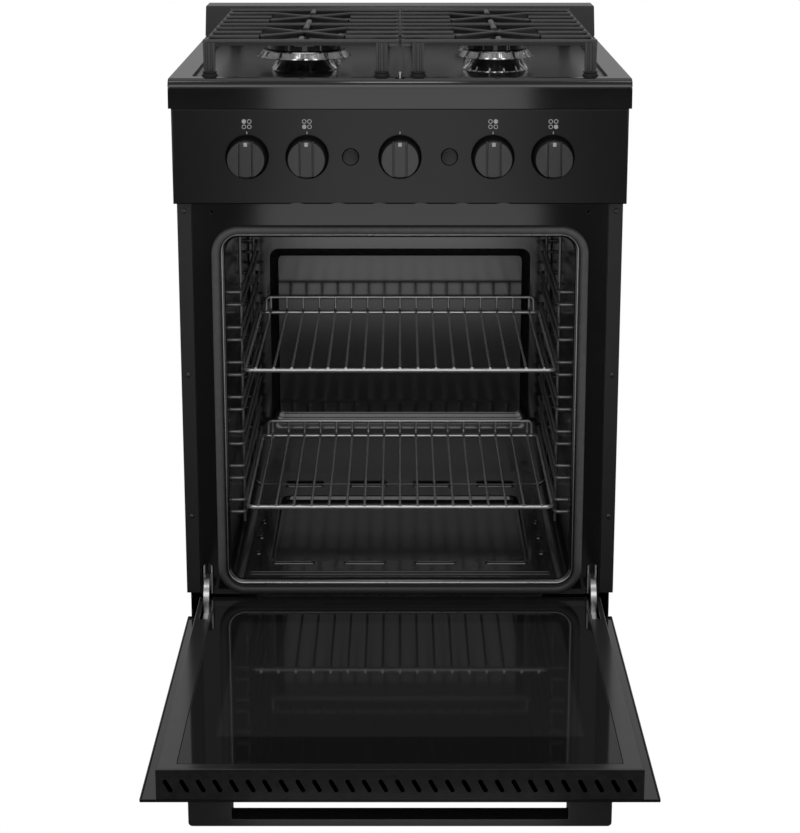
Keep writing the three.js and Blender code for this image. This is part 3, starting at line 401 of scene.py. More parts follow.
def buildWireTree():
    # edges of a mesh become round wire with bent corners
    tree, given = newTree("bentWire", [
        ("Wire radius", "Float", 0.002), ("Bend radius", "Float", 0.006), ("Bend steps", "Int", 5),
        ("Sides", "Int", 10),
    ])
    path = addNode(tree, "GeometryNodeMeshToCurve", {"Mesh": given["Geometry"]})
    fillet = addNode(tree, "GeometryNodeFilletCurve", {
        "Curve": path.outputs[0], "Radius": given["Bend radius"], "Count": given["Bend steps"],
        "Limit Radius": True}, mode="POLY")
    ring = addNode(tree, "GeometryNodeCurvePrimitiveCircle", {
        "Resolution": given["Sides"], "Radius": given["Wire radius"]})
    sweep = addNode(tree, "GeometryNodeCurveToMesh", {
        "Curve": fillet.outputs[0], "Profile Curve": ring.outputs[0], "Fill Caps": True})
    smooth = addNode(tree, "GeometryNodeSetShadeSmooth", {"Geometry": sweep.outputs[0]})
    return endTree(tree, smooth.outputs[0], given)


def buildRowTree():
    # one shape repeated along a straight row
    tree, given = newTree("repeatInRow", [("Count", "Int", 2), ("Step", "Vector", (0, 0, 0.01))])
    line = addNode(tree, "GeometryNodeMeshLine", {
        "Count": given["Count"], "Offset": given["Step"]}, mode="OFFSET")
    spread = addNode(tree, "GeometryNodeInstanceOnPoints", {
        "Points": line.outputs[0], "Instance": given["Geometry"]})
    return endTree(tree, spread.outputs[0], given)


def buildRingTree():
    # one shape repeated round the z axis
    tree, given = newTree("repeatInRing", [("Count", "Int", 12)])
    line = addNode(tree, "GeometryNodeMeshLine", {
        "Count": given["Count"], "Offset": (0, 0, 0)}, mode="OFFSET")
    share = maths(tree, "DIVIDE", addNode(tree, "GeometryNodeInputIndex").outputs[0], given["Count"])
    euler = addNode(tree, "ShaderNodeCombineXYZ", {"Z": maths(tree, "MULTIPLY", share, 2 * pi)})
    spread = addNode(tree, "GeometryNodeInstanceOnPoints", {
        "Points": line.outputs[0], "Instance": given["Geometry"], "Rotation": euler.outputs[0]})
    return endTree(tree, spread.outputs[0], given)


def buildPointTree():
    # one shape set down at every point given
    tree, given = newTree("repeatAtPoints", [("Shape", "Object", None)])
    shape = addNode(tree, "GeometryNodeObjectInfo", {"Object": given["Shape"]})
    spread = addNode(tree, "GeometryNodeInstanceOnPoints", {
        "Points": given["Geometry"], "Instance": shape.outputs["Geometry"]})
    return endTree(tree, spread.outputs[0], given)


wireTree, rowTree, ringTree = buildWireTree(), buildRowTree(), buildRingTree()
pointTree = buildPointTree()
print("geometry node trees built")


def scaledObject(bm):
    bm.transform(Matrix.Scale(mm, 4))
    obj = scratchObject(bm)
    bm.free()
    return obj


def runTree(bm, tree, values):
    # runs a tree on a shape in metres and gives the result back in millimetres
    obj = scaledObject(bm)
    modifier = obj.modifiers.new(tree.name, "NODES")
    modifier.node_group = tree
    for item in tree.interface.items_tree:
        if item.item_type == "SOCKET" and item.in_out == "INPUT" and item.name in values:
            modifier[item.identifier] = values[item.name]
    result = shapeOf(obj)
    result.transform(Matrix.Scale(1 / mm, 4))
    return result


def wires(paths, radius, bend, paint, sides=10, steps=5, cyclic=False):
    bm = bmesh.new()
    for path in paths:
        points = [bm.verts.new(p) for p in path]
        for a, b in zip(points, points[1:] + points[:cyclic]):
            bm.edges.new((a, b))
    return runTree(bm, wireTree, {
        "Wire radius": radius * mm, "Bend radius": bend * mm, "Bend steps": steps,
        "Sides": sides, "Material": finishes[paint],
    })


def rowStart(count, pitch):
    return -pitch * (count - 1) / 2  # where the first of a row centred on zero stands


def inRow(bm, count, step, paint):
    values = {"Count": count, "Step": [s * mm for s in step], "Material": finishes[paint]}
    return runTree(bm, rowTree, values)


def inRing(bm, count, paint):
    return runTree(bm, ringTree, {"Count": count, "Material": finishes[paint]})


def atPoints(bm, places, paint):
    shape = scaledObject(bm)
    spots = bmesh.new()
    for place in places:
        spots.verts.new(place)
    result = runTree(spots, pointTree, {"Shape": shape, "Material": finishes[paint]})
    dropObject(shape)
    return result


# Shader groups that the finishes share.

def newGroup(name, inputs, outputs):
    tree = bpy.data.node_groups.new(name, "ShaderNodeTree")
    for label, value in inputs:
        socket = tree.interface.new_socket(label, in_out="INPUT", socket_type="NodeSocketFloat")
        socket.default_value = value
    for label in outputs:
        tree.interface.new_socket(label, in_out="OUTPUT", socket_type="NodeSocketFloat")
    return tree, tree.nodes.new("NodeGroupInput").outputs


def endGroup(tree, **values):
    addNode(tree, "NodeGroupOutput", values)
    return tree


def buildSmudgeGroup():
    # roughness that drifts over the surface, as on a wiped panel
    inputs = [("Scale", 6), ("Roughness", 0.2), ("Spread", 0.05)]
    tree, given = newGroup("wipedSmudges", inputs, ["Roughness"])
    cloud = maths(tree, "SUBTRACT", noise(tree, objectPlace(tree), given["Scale"], 5, 0.6), 0.5)
    drift = maths(tree, "MULTIPLY_ADD", cloud, given["Spread"], given["Roughness"])
    return endGroup(tree, Roughness=drift)


def buildGrainGroup():
    # fine height and a shade mask: orange peel in enamel, pits in cast iron, nap in rubber
    tree, given = newGroup("fineGrain", [("Scale", 700), ("Coarse", 60), ("Mix", 0.3)], ["Height", "Mask"])
    place = objectPlace(tree)
    fine, coarse = noise(tree, place, given["Scale"], 3), noise(tree, place, given["Coarse"], 4)
    height = blended(tree, given["Mix"], fine, coarse)
    return endGroup(tree, Height=height, Mask=mapped(tree, coarse, 0.35, 0.7))


def buildBrushGroup():
    # streaks of a brushed or drawn surface, long in x
    tree, given = newGroup("brushedStreaks", [("Along", 8), ("Across", 1400)], ["Height", "Mask"])
    stretch = addNode(tree, "ShaderNodeCombineXYZ", {
        "X": given["Along"], "Y": given["Across"], "Z": given["Across"]})
    scaled = addNode(tree, "ShaderNodeVectorMath", {
        0: objectPlace(tree), 1: stretch.outputs[0]}, operation="MULTIPLY")
    streak = noise(tree, scaled.outputs[0], 1, 3)
    return endGroup(tree, Height=streak, Mask=mapped(tree, streak, 0.3, 0.7))


def buildSpangleGroup():
    # the leafy zinc pattern of galvanised sheet
    tree, given = newGroup("zincSpangle", [("Scale", 70)], ["Mask"])
    place = objectPlace(tree)
    warp = addNode(tree, "ShaderNodeTexNoise", {"Vector": place, "Scale": 30})
    bent = addNode(tree, "ShaderNodeVectorMath", {
        0: warp.outputs["Color"], 1: (0.02, 0.02, 0.02), 2: place}, operation="MULTIPLY_ADD")
    cells = addNode(tree, "ShaderNodeTexVoronoi", {"Vector": bent.outputs[0], "Scale": given["Scale"]})
    shade = addNode(tree, "ShaderNodeRGBToBW", {0: cells.outputs["Color"]})
    return endGroup(tree, Mask=shade.outputs[0])


def buildWearGroup():
    # a mask along outer edges, broken up by noise
    tree, given = newGroup("edgeWear", [("Amount", 0.5), ("Scale", 90)], ["Mask"])
    edge = mapped(tree, addNode(tree, "ShaderNodeNewGeometry").outputs["Pointiness"], 0.52, 0.62)
    broken = maths(tree, "MULTIPLY", edge, noise(tree, objectPlace(tree), given["Scale"], 5))
    return endGroup(tree, Mask=maths(tree, "MULTIPLY", broken, given["Amount"]))


smudgeGroup, grainGroup, brushGroup = buildSmudgeGroup(), buildGrainGroup(), buildBrushGroup()
spangleGroup, wearGroup = buildSpangleGroup(), buildWearGroup()


def useGroup(tree, group, **values):
    return addNode(tree, "ShaderNodeGroup", values, node_tree=group).outputs


def finish(name, colour, roughness, second=None, pattern="grain", smudge=0.04, smudgeScale=5,
           bump=0.05, bumpDepth=0.02, scale=700, coarse=60, mix=0.3, wear=0.0, wearColour=0.2,
           metallic=0.0, specular=0.5, ior=1.5):
    # colour drifts to second by the pattern's mask, then to wearColour along edges
    material = bpy.data.materials.new(name)
    material.use_nodes = True
    tree = material.node_tree
    if pattern == "brush":
        source = useGroup(tree, brushGroup, Along=coarse, Across=scale)
    elif pattern == "spangle":
        source = useGroup(tree, spangleGroup, Scale=scale)
    else:
        source = useGroup(tree, grainGroup, Scale=scale, Coarse=coarse, Mix=mix)
    base = colourBlend(tree, source["Mask"], colour, colour if second is None else second)
    if wear:
        base = colourBlend(tree, useGroup(tree, wearGroup, Amount=wear)["Mask"], base, wearColour)
    smudges = useGroup(tree, smudgeGroup, Scale=smudgeScale, Roughness=roughness, Spread=smudge)
    values = {"Base Color": base, "Roughness": smudges["Roughness"], "Metallic": metallic,
              "Specular IOR Level": specular, "IOR": ior}
    if pattern != "spangle" and bump:
        relief = addNode(tree, "ShaderNodeBump", {
            "Strength": bump, "Distance": bumpDepth * mm, "Height": source["Height"]})
        values["Normal"] = relief.outputs[0]
    for label, value in values.items():
        setInput(tree, tree.nodes["Principled BSDF"].inputs[label], value)
    return material


def windowMask(tree, window):
    # 1 inside a plain rectangle seen from above, 0 outside it
    place, masks = splitPlace(tree), []
    for axis, centre, half in (("X", 0, window["halfWidth"]), ("Y", window["middle"], window["halfDepth"])):
        aside = maths(tree, "ABSOLUTE", maths(tree, "SUBTRACT", place[axis], centre))
        masks.append(mapped(tree, aside, half, half - window["soft"]))
    return maths(tree, "MULTIPLY", *masks)


def paintShadeBelow(material, low, high, shade):
    # painted shade: the colour sinks to a share of itself towards the bottom of the piece, standing in for
    # the shadow that falls there
    tree = material.node_tree
    colour = tree.nodes["Principled BSDF"].inputs["Base Color"]
    share = mapped(tree, splitPlace(tree)["Z"], low, high, shade, 1)
    scaled = addNode(tree, "ShaderNodeVectorMath", {
        0: colour.links[0].from_socket, "Scale": share}, operation="SCALE")
    tree.links.new(scaled.outputs[0], colour)


# what several finishes share
rolled = {"smudge": 0.04, "bump": 0.04, "scale": 600, "coarse": 35, "wear": 0.3, "wearColour": 0.06,
          "ior": 1.55}
coated = {"bump": 0.08, "scale": 1500, "coarse": 40, "wear": 0.25, "wearColour": 0.05, "ior": 1.55}
moulded = {"smudge": 0.05, "smudgeScale": 30, "bump": 0.15, "scale": 1800, "coarse": 90}
drawn = {"pattern": "brush", "smudgeScale": 20}
finishes = {
    "glossPanel": finish("gloss black panel", 0.0035, 0.09, second=0.0045, smudge=0.03, bump=0.02,
                         scale=500, coarse=30, wear=0.25, wearColour=0.05, ior=1.52),
    "satinPanel": finish("satin black panel", 0.0018, 0.21, second=0.0025, smudge=0.04, bump=0.12,
                         scale=1800, coarse=40, wear=0.2, wearColour=0.04, ior=1.42),
    "bodyPaint": finish("black body paint", 0.0055, 0.38, second=0.007, smudge=0.06, bump=0.2,
                        scale=1300, coarse=25, wear=0.3, wearColour=0.05),
    "ovenEnamel": finish("oven enamel", 0.006, 0.14, second=0.01, smudge=0.03, bump=0.03,
                         bumpDepth=0.03, scale=350, coarse=45, wear=0.15, wearColour=0.05, ior=1.75),
    "topEnamel": finish("cooktop enamel", 0.004, 0.09, second=0.005, smudge=0.04, bump=0.06,
                        bumpDepth=0.03, scale=420, coarse=40, wear=0.2, wearColour=0.06, ior=1.6),
    "castIron": finish("coated cast iron", 0.01, 0.4, second=0.018, smudge=0.08, smudgeScale=14,
                       bump=0.5, bumpDepth=0.12, scale=900, coarse=170, mix=0.55, wear=0.5,
                       wearColour=0.07, ior=1.6),
    "chromeWire": finish("chromed wire", 0.62, 0.2, second=0.5, smudge=0.08, scale=900, coarse=40,
                         metallic=0.7, **drawn),
    "rungWire": finish("dulled chrome wire", 0.2, 0.3, second=0.14, smudge=0.1, scale=900, coarse=40,
                       metallic=0.6, **drawn),
    "crownMetal": finish("polished aluminium", 0.42, 0.14, second=0.3, smudge=0.08, smudgeScale=30,
                         bump=0.1, bumpDepth=0.05, scale=800, coarse=120, metallic=1.0),
    "capEnamel": finish("burner cap enamel", 0.004, 0.11, second=0.007, smudge=0.05, smudgeScale=25,
                        bump=0.1, bumpDepth=0.04, scale=600, coarse=90, wear=0.4, wearColour=0.08),
    "hingeMetal": finish("bright hinge steel", 0.55, 0.28, second=0.42, smudge=0.1, bump=0.1, scale=800,
                         coarse=30, metallic=1.0, **drawn),
    "zincSheet": finish("galvanised sheet", 0.42, 0.4, second=0.62, smudge=0.1, pattern="spangle",
                        scale=70, metallic=0.9),
    "knobPlastic": finish("black knob plastic", 0.018, 0.28, second=0.022, wear=0.3, wearColour=0.05,
                          ior=1.55, **moulded),
    # painted shade: the knob's own plastic made near-black with almost no reflection, for the shadow round
    # each knob's foot
    "collarShade": finish("collar plastic in painted shade", 0.001, 0.5, second=0.002, specular=0.06, **moulded),
    "buttonPlastic": finish("black button plastic", 0.007, 0.34, second=0.009, wear=0.2, wearColour=0.04,
                            specular=0.35, **moulded),
    "gasketRubber": finish("door gasket rubber", 0.075, 0.5, second=0.06, smudge=0.1, smudgeScale=18,
                           bump=0.3, bumpDepth=0.08, scale=1500, coarse=120),
    "footRubber": finish("foot rubber", 0.012, 0.7, second=0.018, smudge=0.1, bump=0.4, bumpDepth=0.1,
                         scale=1200, coarse=150),
    "valveBrass": finish("valve brass", (0.55, 0.36, 0.13), 0.3, second=(0.42, 0.27, 0.1), smudge=0.1,
                         bump=0.1, scale=600, coarse=60, metallic=1.0),
    "lampGlass": finish("lamp glass", 0.55, 0.12, second=0.5, smudge=0.04, bump=0.1, scale=200,
                        coarse=40),
    "printWhite": finish("panel print", 0.5, 0.5, second=0.42, smudge=0.05, bump=0.1, scale=2500,
                         coarse=400),
    "screwSteel": finish("blackened screw steel", 0.09, 0.35, second=0.05, smudge=0.1, smudgeScale=60,
                         bump=0.1, scale=900, coarse=150, metallic=1.0),
    "ceramic": finish("igniter ceramic", 0.62, 0.35, second=0.5, smudge=0.1, smudgeScale=60,
                      bump=0.1, scale=900, coarse=200),
    "backguardBlack": finish("backguard black", 0.005, 0.24, second=0.006, smudge=0.04, **coated),
    "handleBlack": finish("handle black", 0.008, 0.26, second=0.01, specular=0.8, smudge=0.05, **coated),
    "ventBlack": finish("vent strip black", 0.003, 0.16, second=0.005, **rolled),
    "doorBlack": finish("door liner black", 0.014, 0.16, second=0.018, **rolled),
    "floorEnamel": finish("oven floor enamel", 0.012, 0.14, second=0.018, smudge=0.05, bump=0.08,
                          bumpDepth=0.03, scale=350, coarse=45, wear=0.2, wearColour=0.06, ior=1.7),
}
print("finishes made:", len(finishes))

# Cooktop and backguard.

cooktop = {
    "halfWidth": 303, "depth": 646, "top": 914, "apron": 39, "nose": 11, "edge": 1.6,
    "wellX": 273, "wellFront": 24, "wellBack": 556, "wellDepth": 5, "wellCorner": 14,
    "wellRoughness": 0.25, "sheet": 1.5, "rim": 1.6, "foot": 2.6, "hole": 15.4, "groove": 902,
    "grooveHeight": 1.3, "grooveDepth": 0.9,
}


def dullWell(material, roughness):
    # the well's floor is duller than the rolled edge and apron
    tree = material.node_tree
    socket = tree.nodes["Principled BSDF"].inputs["Roughness"]
    middle = closedFace + (cooktop["wellFront"] + cooktop["wellBack"]) / 2 * mm
    well = {"halfWidth": (cooktop["wellX"] + 1) * mm, "middle": middle,
            "halfDepth": ((cooktop["wellBack"] - cooktop["wellFront"]) / 2 + 1) * mm, "soft": 0.002}
    tree.links.new(blended(tree, windowMask(tree, well), socket.links[0].from_socket, roughness), socket)


def buildCooktop():
    c = cooktop
    top, bottom = c["top"], c["top"] - c["apron"]
    nose = c["nose"]
    centre = (nose, top - nose)

    def side(inset):
        curve = arc(*centre, nose - inset, 180, 90, 12)
        return [(inset, bottom - inset), *curve, (c["depth"] - inset, top - inset),
                (c["depth"] - inset, bottom - inset)]

    outer = prism(side(0), "x", -c["halfWidth"], c["halfWidth"])
    long = [e for e in outer.edges if len(e.link_faces) == 2 and degrees(e.calc_face_angle()) > 40
            and min(v.co.z for v in e.verts) > bottom + 1]
    bmesh.ops.bevel(outer, geom=long, offset=c["edge"], segments=3, profile=0.5, affect="EDGES")
    inner = prism(side(c["sheet"]), "x", c["sheet"] - c["halfWidth"], c["halfWidth"] - c["sheet"])
    x, y0, y1 = c["wellX"], c["wellFront"], c["wellBack"]
    floor = top - c["wellDepth"]

    def ring(grow, z):
        return onAxis(roundedRect(-x - grow, x + grow, y0 - grow, y1 + grow, c["wellCorner"] + grow, 8),
                      "z", z)

    rim, foot = c["rim"], c["foot"]
    wall = [ring(rim + 1, top + 1), ring(rim, top)]
    wall += [ring(rim - rim * sin(radians(a)), top - rim + rim * cos(radians(a))) for a in (30, 60, 90)]
    wall += [ring(-foot + foot * cos(radians(a)), floor + foot - foot * sin(radians(a)))
             for a in (0, 30, 60, 90)]
    pan = [ring(rim + c["sheet"] + 1, top), ring(c["sheet"], top - rim),
           ring(c["sheet"], floor - c["sheet"])]
    shell = boolean(outer, [inner])
    shell = boolean(shell, [loft(pan)], "UNION")
    holes = [drill(c["hole"], floor - 4, floor + 1, 32, shiftBy(*middleOf("burner_crown_" + name), 0))
             for name in burnerNames]
    # a fine groove parts the rolled edge from the apron on the front and both sides
    reach, deep = c["halfWidth"], c["grooveDepth"]
    z = (c["groove"] - c["grooveHeight"] / 2, c["groove"] + c["grooveHeight"] / 2)
    grooves = [block((-reach - 1, reach + 1), (-1, deep), z)]
    grooves += [block(onSide(sign, reach - deep, reach + 1), (-1, c["depth"] - 4), z) for sign in (-1, 1)]
    shell = boolean(shell, [loft(wall), *holes, *grooves])
    addPiece("cooktop_shell", shell, "topEnamel", "body", ["cooktop"], 25)


burnerNames = ["front_left", "rear_left", "rear_right", "front_right"]
dullWell(finishes["topEnamel"], cooktop["wellRoughness"])
buildCooktop()

backguard = {
    "halfWidth": 303, "front": 564, "back": 646, "lean": 21, "bottom": 914.3, "top": 959.5,
    "sheet": 1.5, "edge": 1.4, "slots": 10, "slotPitch": 46, "slotWidth": 32, "slotHeight": 7,
    "slotBottom": 936.7,
}


def buildBackguard():
    g = backguard

    def side(inset):
        return [(g["front"] + inset, g["bottom"] - inset), (g["front"] + g["lean"] + inset, g["top"] - inset),
                (g["back"] - inset, g["top"] - inset), (g["back"] - inset, g["bottom"] - inset)]

    outer = bevelEdges(prism(side(0), "x", -g["halfWidth"], g["halfWidth"]), g["edge"])
    inner = prism(side(g["sheet"]), "x", g["sheet"] - g["halfWidth"], g["halfWidth"] - g["sheet"])
    outline = longHole(0, g["slotBottom"] + g["slotHeight"] / 2, g["slotWidth"], g["slotHeight"])
    slot = prism(outline, "y", g["back"] - 5, g["back"] + 2)
    moved(slot, shiftBy(rowStart(g["slots"], g["slotPitch"]), 0, 0))
    slots = inRow(slot, g["slots"], (g["slotPitch"], 0, 0), "satinPanel")
    addPiece("backguard_shell", boolean(outer, [inner, slots]), "backguardBlack", "body",
             ["backguard"], 25)


buildBackguard()

# Burners: ring, lid and spark electrode.

crown = {
    "foot": 44, "neck": 33, "neckTop": 17, "flank": 8, "bottom": 18, "top": 28, "teeth": 52,
    "toothGap": 0.46, "toothDepth": 5.2, "fins": 14, "throat": 15, "throatDrop": 30,
}
cap = {"lift": 28.3, "thickness": 12, "inset": 14, "round": 4.5}
spark = {
    "gap": 6.5, "shareX": 0.62, "shareY": 0.78,
    "profile": [(0, 0.2), (4.2, 0.2), (4.2, 6), (3, 6.6), (3, 15), (2.2, 16), (0.9, 16), (0.9, 19.5),
                (0, 20)],
}


def buildBurner(name):
    c = crown
    low, high = span("burner_crown_" + name)
    radius = (high.x - low.x) / 2
    floor = span("cooktop")[1].z - cooktop["wellDepth"]
    place = shiftBy(*middleOf("burner_crown_" + name), floor)
    slope = c["flank"] / (c["top"] - c["bottom"])
    core = radius - 3.4
    body = [(0, -c["throatDrop"]), (c["throat"], -c["throatDrop"]), (c["throat"], 0.3), (c["foot"], 0.3),
            (c["foot"] - 1, 2), (c["neck"] + 3, 9), (c["neck"], c["neckTop"]),
            (radius - 1.2, c["bottom"]), (radius, c["bottom"] + 0.8), (radius - 0.9, c["bottom"] + 2.2),
            (core, c["bottom"] + 2.6), (core - 5, c["top"] - 1.2),
            (radius - c["flank"] + 0.2, c["top"] - 1.2), (radius - c["flank"], c["top"]), (0, c["top"])]
    shapes = [lathe(body, 72)]
    # a tooth stands between two flame ports on the sloping flank
    pitch = 2 * pi / c["teeth"]
    half = pitch * (1 - c["toothGap"]) / 2
    tooth = bmesh.new()
    rows = []
    for z in (c["bottom"] + 1.8, c["top"] - 0.6):
        r = radius - 0.7 - (z - c["bottom"]) * slope
        deep = r - c["toothDepth"]
        rows.append([tooth.verts.new((reach * cos(a), reach * sin(a), z)) for reach, a in (
            (r, -half), (r, half), (deep, half * 0.8), (deep, -half * 0.8))])
    for i in range(4):
        tooth.faces.new((rows[0][i], rows[0][(i + 1) % 4], rows[1][(i + 1) % 4], rows[1][i]))
    tooth.faces.new(rows[1])
    tooth.faces.new(list(reversed(rows[0])))
    tidy(tooth)
    bevelEdges(tooth, 0.5, 1)
    shapes.append(inRing(tooth, c["teeth"], "crownMetal"))
    # ribs run down the flared foot: outer reach, inner reach, half width and height at each level
    levels = ((c["foot"] - 2.5, c["foot"] - 9, 1.3, 0.6), (c["foot"] + 0.6, c["foot"] - 9, 1.3, 1.6),
              (c["neck"] + 3.4, c["neck"] - 3, 1.1, 15.5))
    rib = loft([[(far, -wide, z), (far, wide, z), (near, wide, z), (near, -wide, z)]
                for far, near, wide, z in levels])
    shapes.append(inRing(rib, c["fins"], "crownMetal"))
    addPiece("burner_ring_" + name, shapes, "crownMetal", "body",
             ["burner_crown_" + name], 30, place)
    edge = radius - cap["inset"]
    lift = cap["lift"]
    lid = [(0, lift), (edge - 1, lift), (edge, lift + 0.8), (edge, lift + cap["thickness"] - cap["round"])]
    lid += arc(edge - cap["round"], lift + cap["thickness"] - cap["round"], cap["round"], 0, 78, 6)[1:]
    lid += [(edge * 0.55, lift + cap["thickness"] - 0.15), (0, lift + cap["thickness"])]
    addPiece("burner_lid_" + name, lathe(lid, 72), "capEnamel", "body",
             ["burner_cap_" + name], 40, place)
    # the spark electrode stands in the well beside the crown
    aside = radius + spark["gap"]
    sign = 1 if name.endswith("left") else -1
    addPiece("spark_electrode_" + name, lathe(spark["profile"], 20), "ceramic", "body", (), 30,
             place @ shiftBy(sign * aside * spark["shareX"], aside * spark["shareY"], 0))


for burnerName in burnerNames:
    buildBurner(burnerName)
print("cooktop, backguard and burners built")

# Grates.

grate = {
    "bar": 8, "depth": 8, "rail": 5, "railDrop": 4, "outerDrop": 2.2, "bars": 9, "crest": 3.1,
    "foot": 0.36, "burnerX": 131, "spread": 58, "fingers": (43, 70, 56, 62), "legWidth": 16,
    "legInner": 16, "padRadius": 10.5, "padHeight": 10, "tabReach": 14.5, "tabDrop": 9.6,
}


def castBar(a, b, top, width, depth):
    # a bar with a rounded crest and the draft that lets a casting leave its mould
    half, crest = width / 2, min(grate["crest"], width * 0.42)
    section = [(-width * grate["foot"], -depth), (width * grate["foot"], -depth)]
    section += arc(half - crest, -crest, crest, 0, 90, 6)
    section += [(-x, z) for x, z in reversed(section[2:])]
    along = Vector((b[0] - a[0], b[1] - a[1], 0)).normalized()
    across = Vector((-along.y, along.x, 0))
    return loft([[tuple(Vector((x, y, top + z)) + across * u) for u, z in section] for x, y in (a, b)])


def castLeg(x, y, top, bottom):
    # a tapering leg with two raised ribs down its outer face
    g = grate
    half, thick = g["legWidth"] / 2, g["bar"] / 2
    loops = []
    for z, share in ((top, 1), (bottom + 6, 0.94), (bottom, 0.9)):
        w, d = half * share, thick * share
        ridge = [(-4.6, 0), (-3.8, 0.7), (-2.4, 0.7), (-1.6, 0), (1.6, 0), (2.4, 0.7), (3.8, 0.7), (4.6, 0)]
        loops.append([(x - w, y - d, z), *[(x + u, y - d - v, z) for u, v in ridge],
                      (x + w, y - d, z), (x + w, y + d, z), (x - w, y + d, z)])
    return bevelEdges(loft(loops), 0.6, 2, 50)


def buildGrate(side):
    g = grate
    node = "grate_" + side
    low, high = span(node)
    sign = -1 if side == "left" else 1
    top = high.z
    near, far = min(abs(low.x), abs(high.x)), max(abs(low.x), abs(high.x))
    half, rail = g["bar"] / 2, g["rail"] / 2
    pitch = (high.y - low.y - g["bar"]) / (g["bars"] - 1)

    def row(index):
        return low.y + half + pitch * index

    first, last, middle = row(0), row(g["bars"] - 1), row((g["bars"] - 1) / 2)
    bars = [((far - rail, first - half), (far - rail, last + half), top - g["outerDrop"], g["rail"]),
            ((near + rail, first), (near + rail, last), top - g["railDrop"], g["rail"])]
    bars += [((near, y), (far, y), top, g["bar"]) for y in (first, last)]
    bars.append(((near, middle), (far - rail, middle), top, g["bar"]))
    inner, outer = g["burnerX"] - g["spread"], g["burnerX"] + g["spread"]
    for centre in (2, 6):
        for index in (centre - 1, centre, centre + 1):
            bars.append(((near, row(index)), (inner, row(index)), top, g["bar"]))
            bars.append(((outer, row(index)), (far - rail, row(index)), top, g["bar"]))
        bars.append(((inner, row(centre - 1)), (outer, row(centre + 1)), top - 0.05, g["bar"]))
        bars.append(((inner, row(centre + 1)), (outer, row(centre - 1)), top - 0.1, g["bar"]))
    x = g["burnerX"]
    front, before, behind, rear = g["fingers"]
    bars += [((x, a), (x, b), top, g["bar"]) for a, b in (
        (first, first + front), (middle - before, middle + behind), (last - rear, last))]
    shapes = [castBar((sign * a[0], a[1]), (sign * b[0], b[1]), z, width, g["depth"])
              for a, b, z, width in bars]
    floor = cooktop["top"] - cooktop["wellDepth"]
    legs = [(sign * (g["legInner"] + g["legWidth"] / 2), y) for y in (first, last)]
    legs += [(sign * (far - g["legWidth"] / 2), y) for y in (first, last)]
    for x, y in legs:
        leg = castLeg(x, y, top - 4, floor + g["padHeight"] - 0.6)
        if y == last:
            leg = moved(leg, shiftBy(0, 2 * y, 0) @ Matrix.Scale(-1, 4, (0, 1, 0)))
        shapes.append(leg)
    # a short tab under the front bar meets its neighbour's
    tab = block(onSide(sign, near, g["tabReach"]), (low.y + 0.2, low.y + 6), (top - g["tabDrop"], top - 5))
    shapes.append(bevelEdges(tab, 0.8, 2))
    casting = boolean(shapes[0], shapes[1:], "UNION")
    addPiece(node + "_casting", casting, "castIron", node, [node], 35)
    r, h = g["padRadius"], g["padHeight"]
    pad = softLathe([(0, 0.1), (r - 0.8, 0.1), (r, 1), (r, h - 3.6), (r - 2, h - 2.6), (r - 2, h - 1.6),
                     (r - 0.6, h - 1.2), (r - 0.6, h), (0, h)], 0.5, 28, 2)
    pads = atPoints(pad, [(x, y, floor) for x, y in legs], "footRubber")
    addPiece(node + "_pads", pads, "footRubber", node, (), 35)


for side in ("left", "right"):
    buildGrate(side)

peg = {"depth": 32, "profile": [(0, 0), (4.2, 0), (4.2, 1.2), (2.4, 1.8), (2.4, 9.6), (1.6, 10.6), (0, 10.6)]}
addPiece("grate_locating_peg", softLathe(peg["profile"], 0.5, 20, 2), "hingeMetal", "body",
         (), 35, shiftBy(0, peg["depth"], cooktop["top"] - cooktop["wellDepth"]))
print("grates built")

# Control panel, knobs, buttons and their printed marks.

panel = {
    "face": 5, "back": 49.7, "bottom": 748, "top": 874.7, "halfWidth": 300, "wall": 2, "edge": 2.2,
    "scallops": 6, "scallopPitch": 54.6, "scallopRadius": 26, "scallopDepth": 2,
    "knobHole": 6, "buttonHole": 11.6, "controlZ": 811,
}
knobNames = ["rear_left", "front_left", "oven", "rear_right", "front_right"]


def buildPanel():
    p = panel
    outer = block((-p["halfWidth"], p["halfWidth"]), (p["face"], p["back"]), (p["bottom"], p["top"]))
    roundFace(outer, p["face"], p["edge"])
    wall = p["wall"]
    inner = block((wall - p["halfWidth"], p["halfWidth"] - wall), (p["face"] + wall, p["back"] + 1),
                  (p["bottom"] + wall, p["top"] - wall))
    holes = []
    for names, radius, sides in ((["knob_" + name for name in knobNames], p["knobHole"], 24),
                                 (["button_left", "button_right"], p["buttonHole"], 32)):
        for name in names:
            place = shiftBy(middleOf(name)[0], p["face"] + 4, p["controlZ"])
            holes.append(drill(radius, 0, 8, sides, place @ facing))
    # shallow scallops along the lower edge let steam out above the door
    start = rowStart(p["scallops"], p["scallopPitch"])
    drop = p["bottom"] + p["scallopDepth"] - p["scallopRadius"]
    notch = drill(p["scallopRadius"], 0, p["back"] - p["face"] + 2, 96,
                  shiftBy(start, p["back"] + 1, drop) @ facing)
    holes.append(inRow(notch, p["scallops"], (p["scallopPitch"], 0, 0), "satinPanel"))
    addPiece("control_panel", boolean(outer, [inner, *holes]), "satinPanel", "body",
             ["control_fascia"], 25)


buildPanel()

knob = {
    "skirt": 28.5, "skirtHeight": 4.6, "rimRadius": 24.5, "depth": 26, "grip": 7.25, "groove": 2.6,
    "grooveDepth": 9, "step": 1.6, "markWidth": 4.6, "markLength": 5, "bore": 4.3,
}


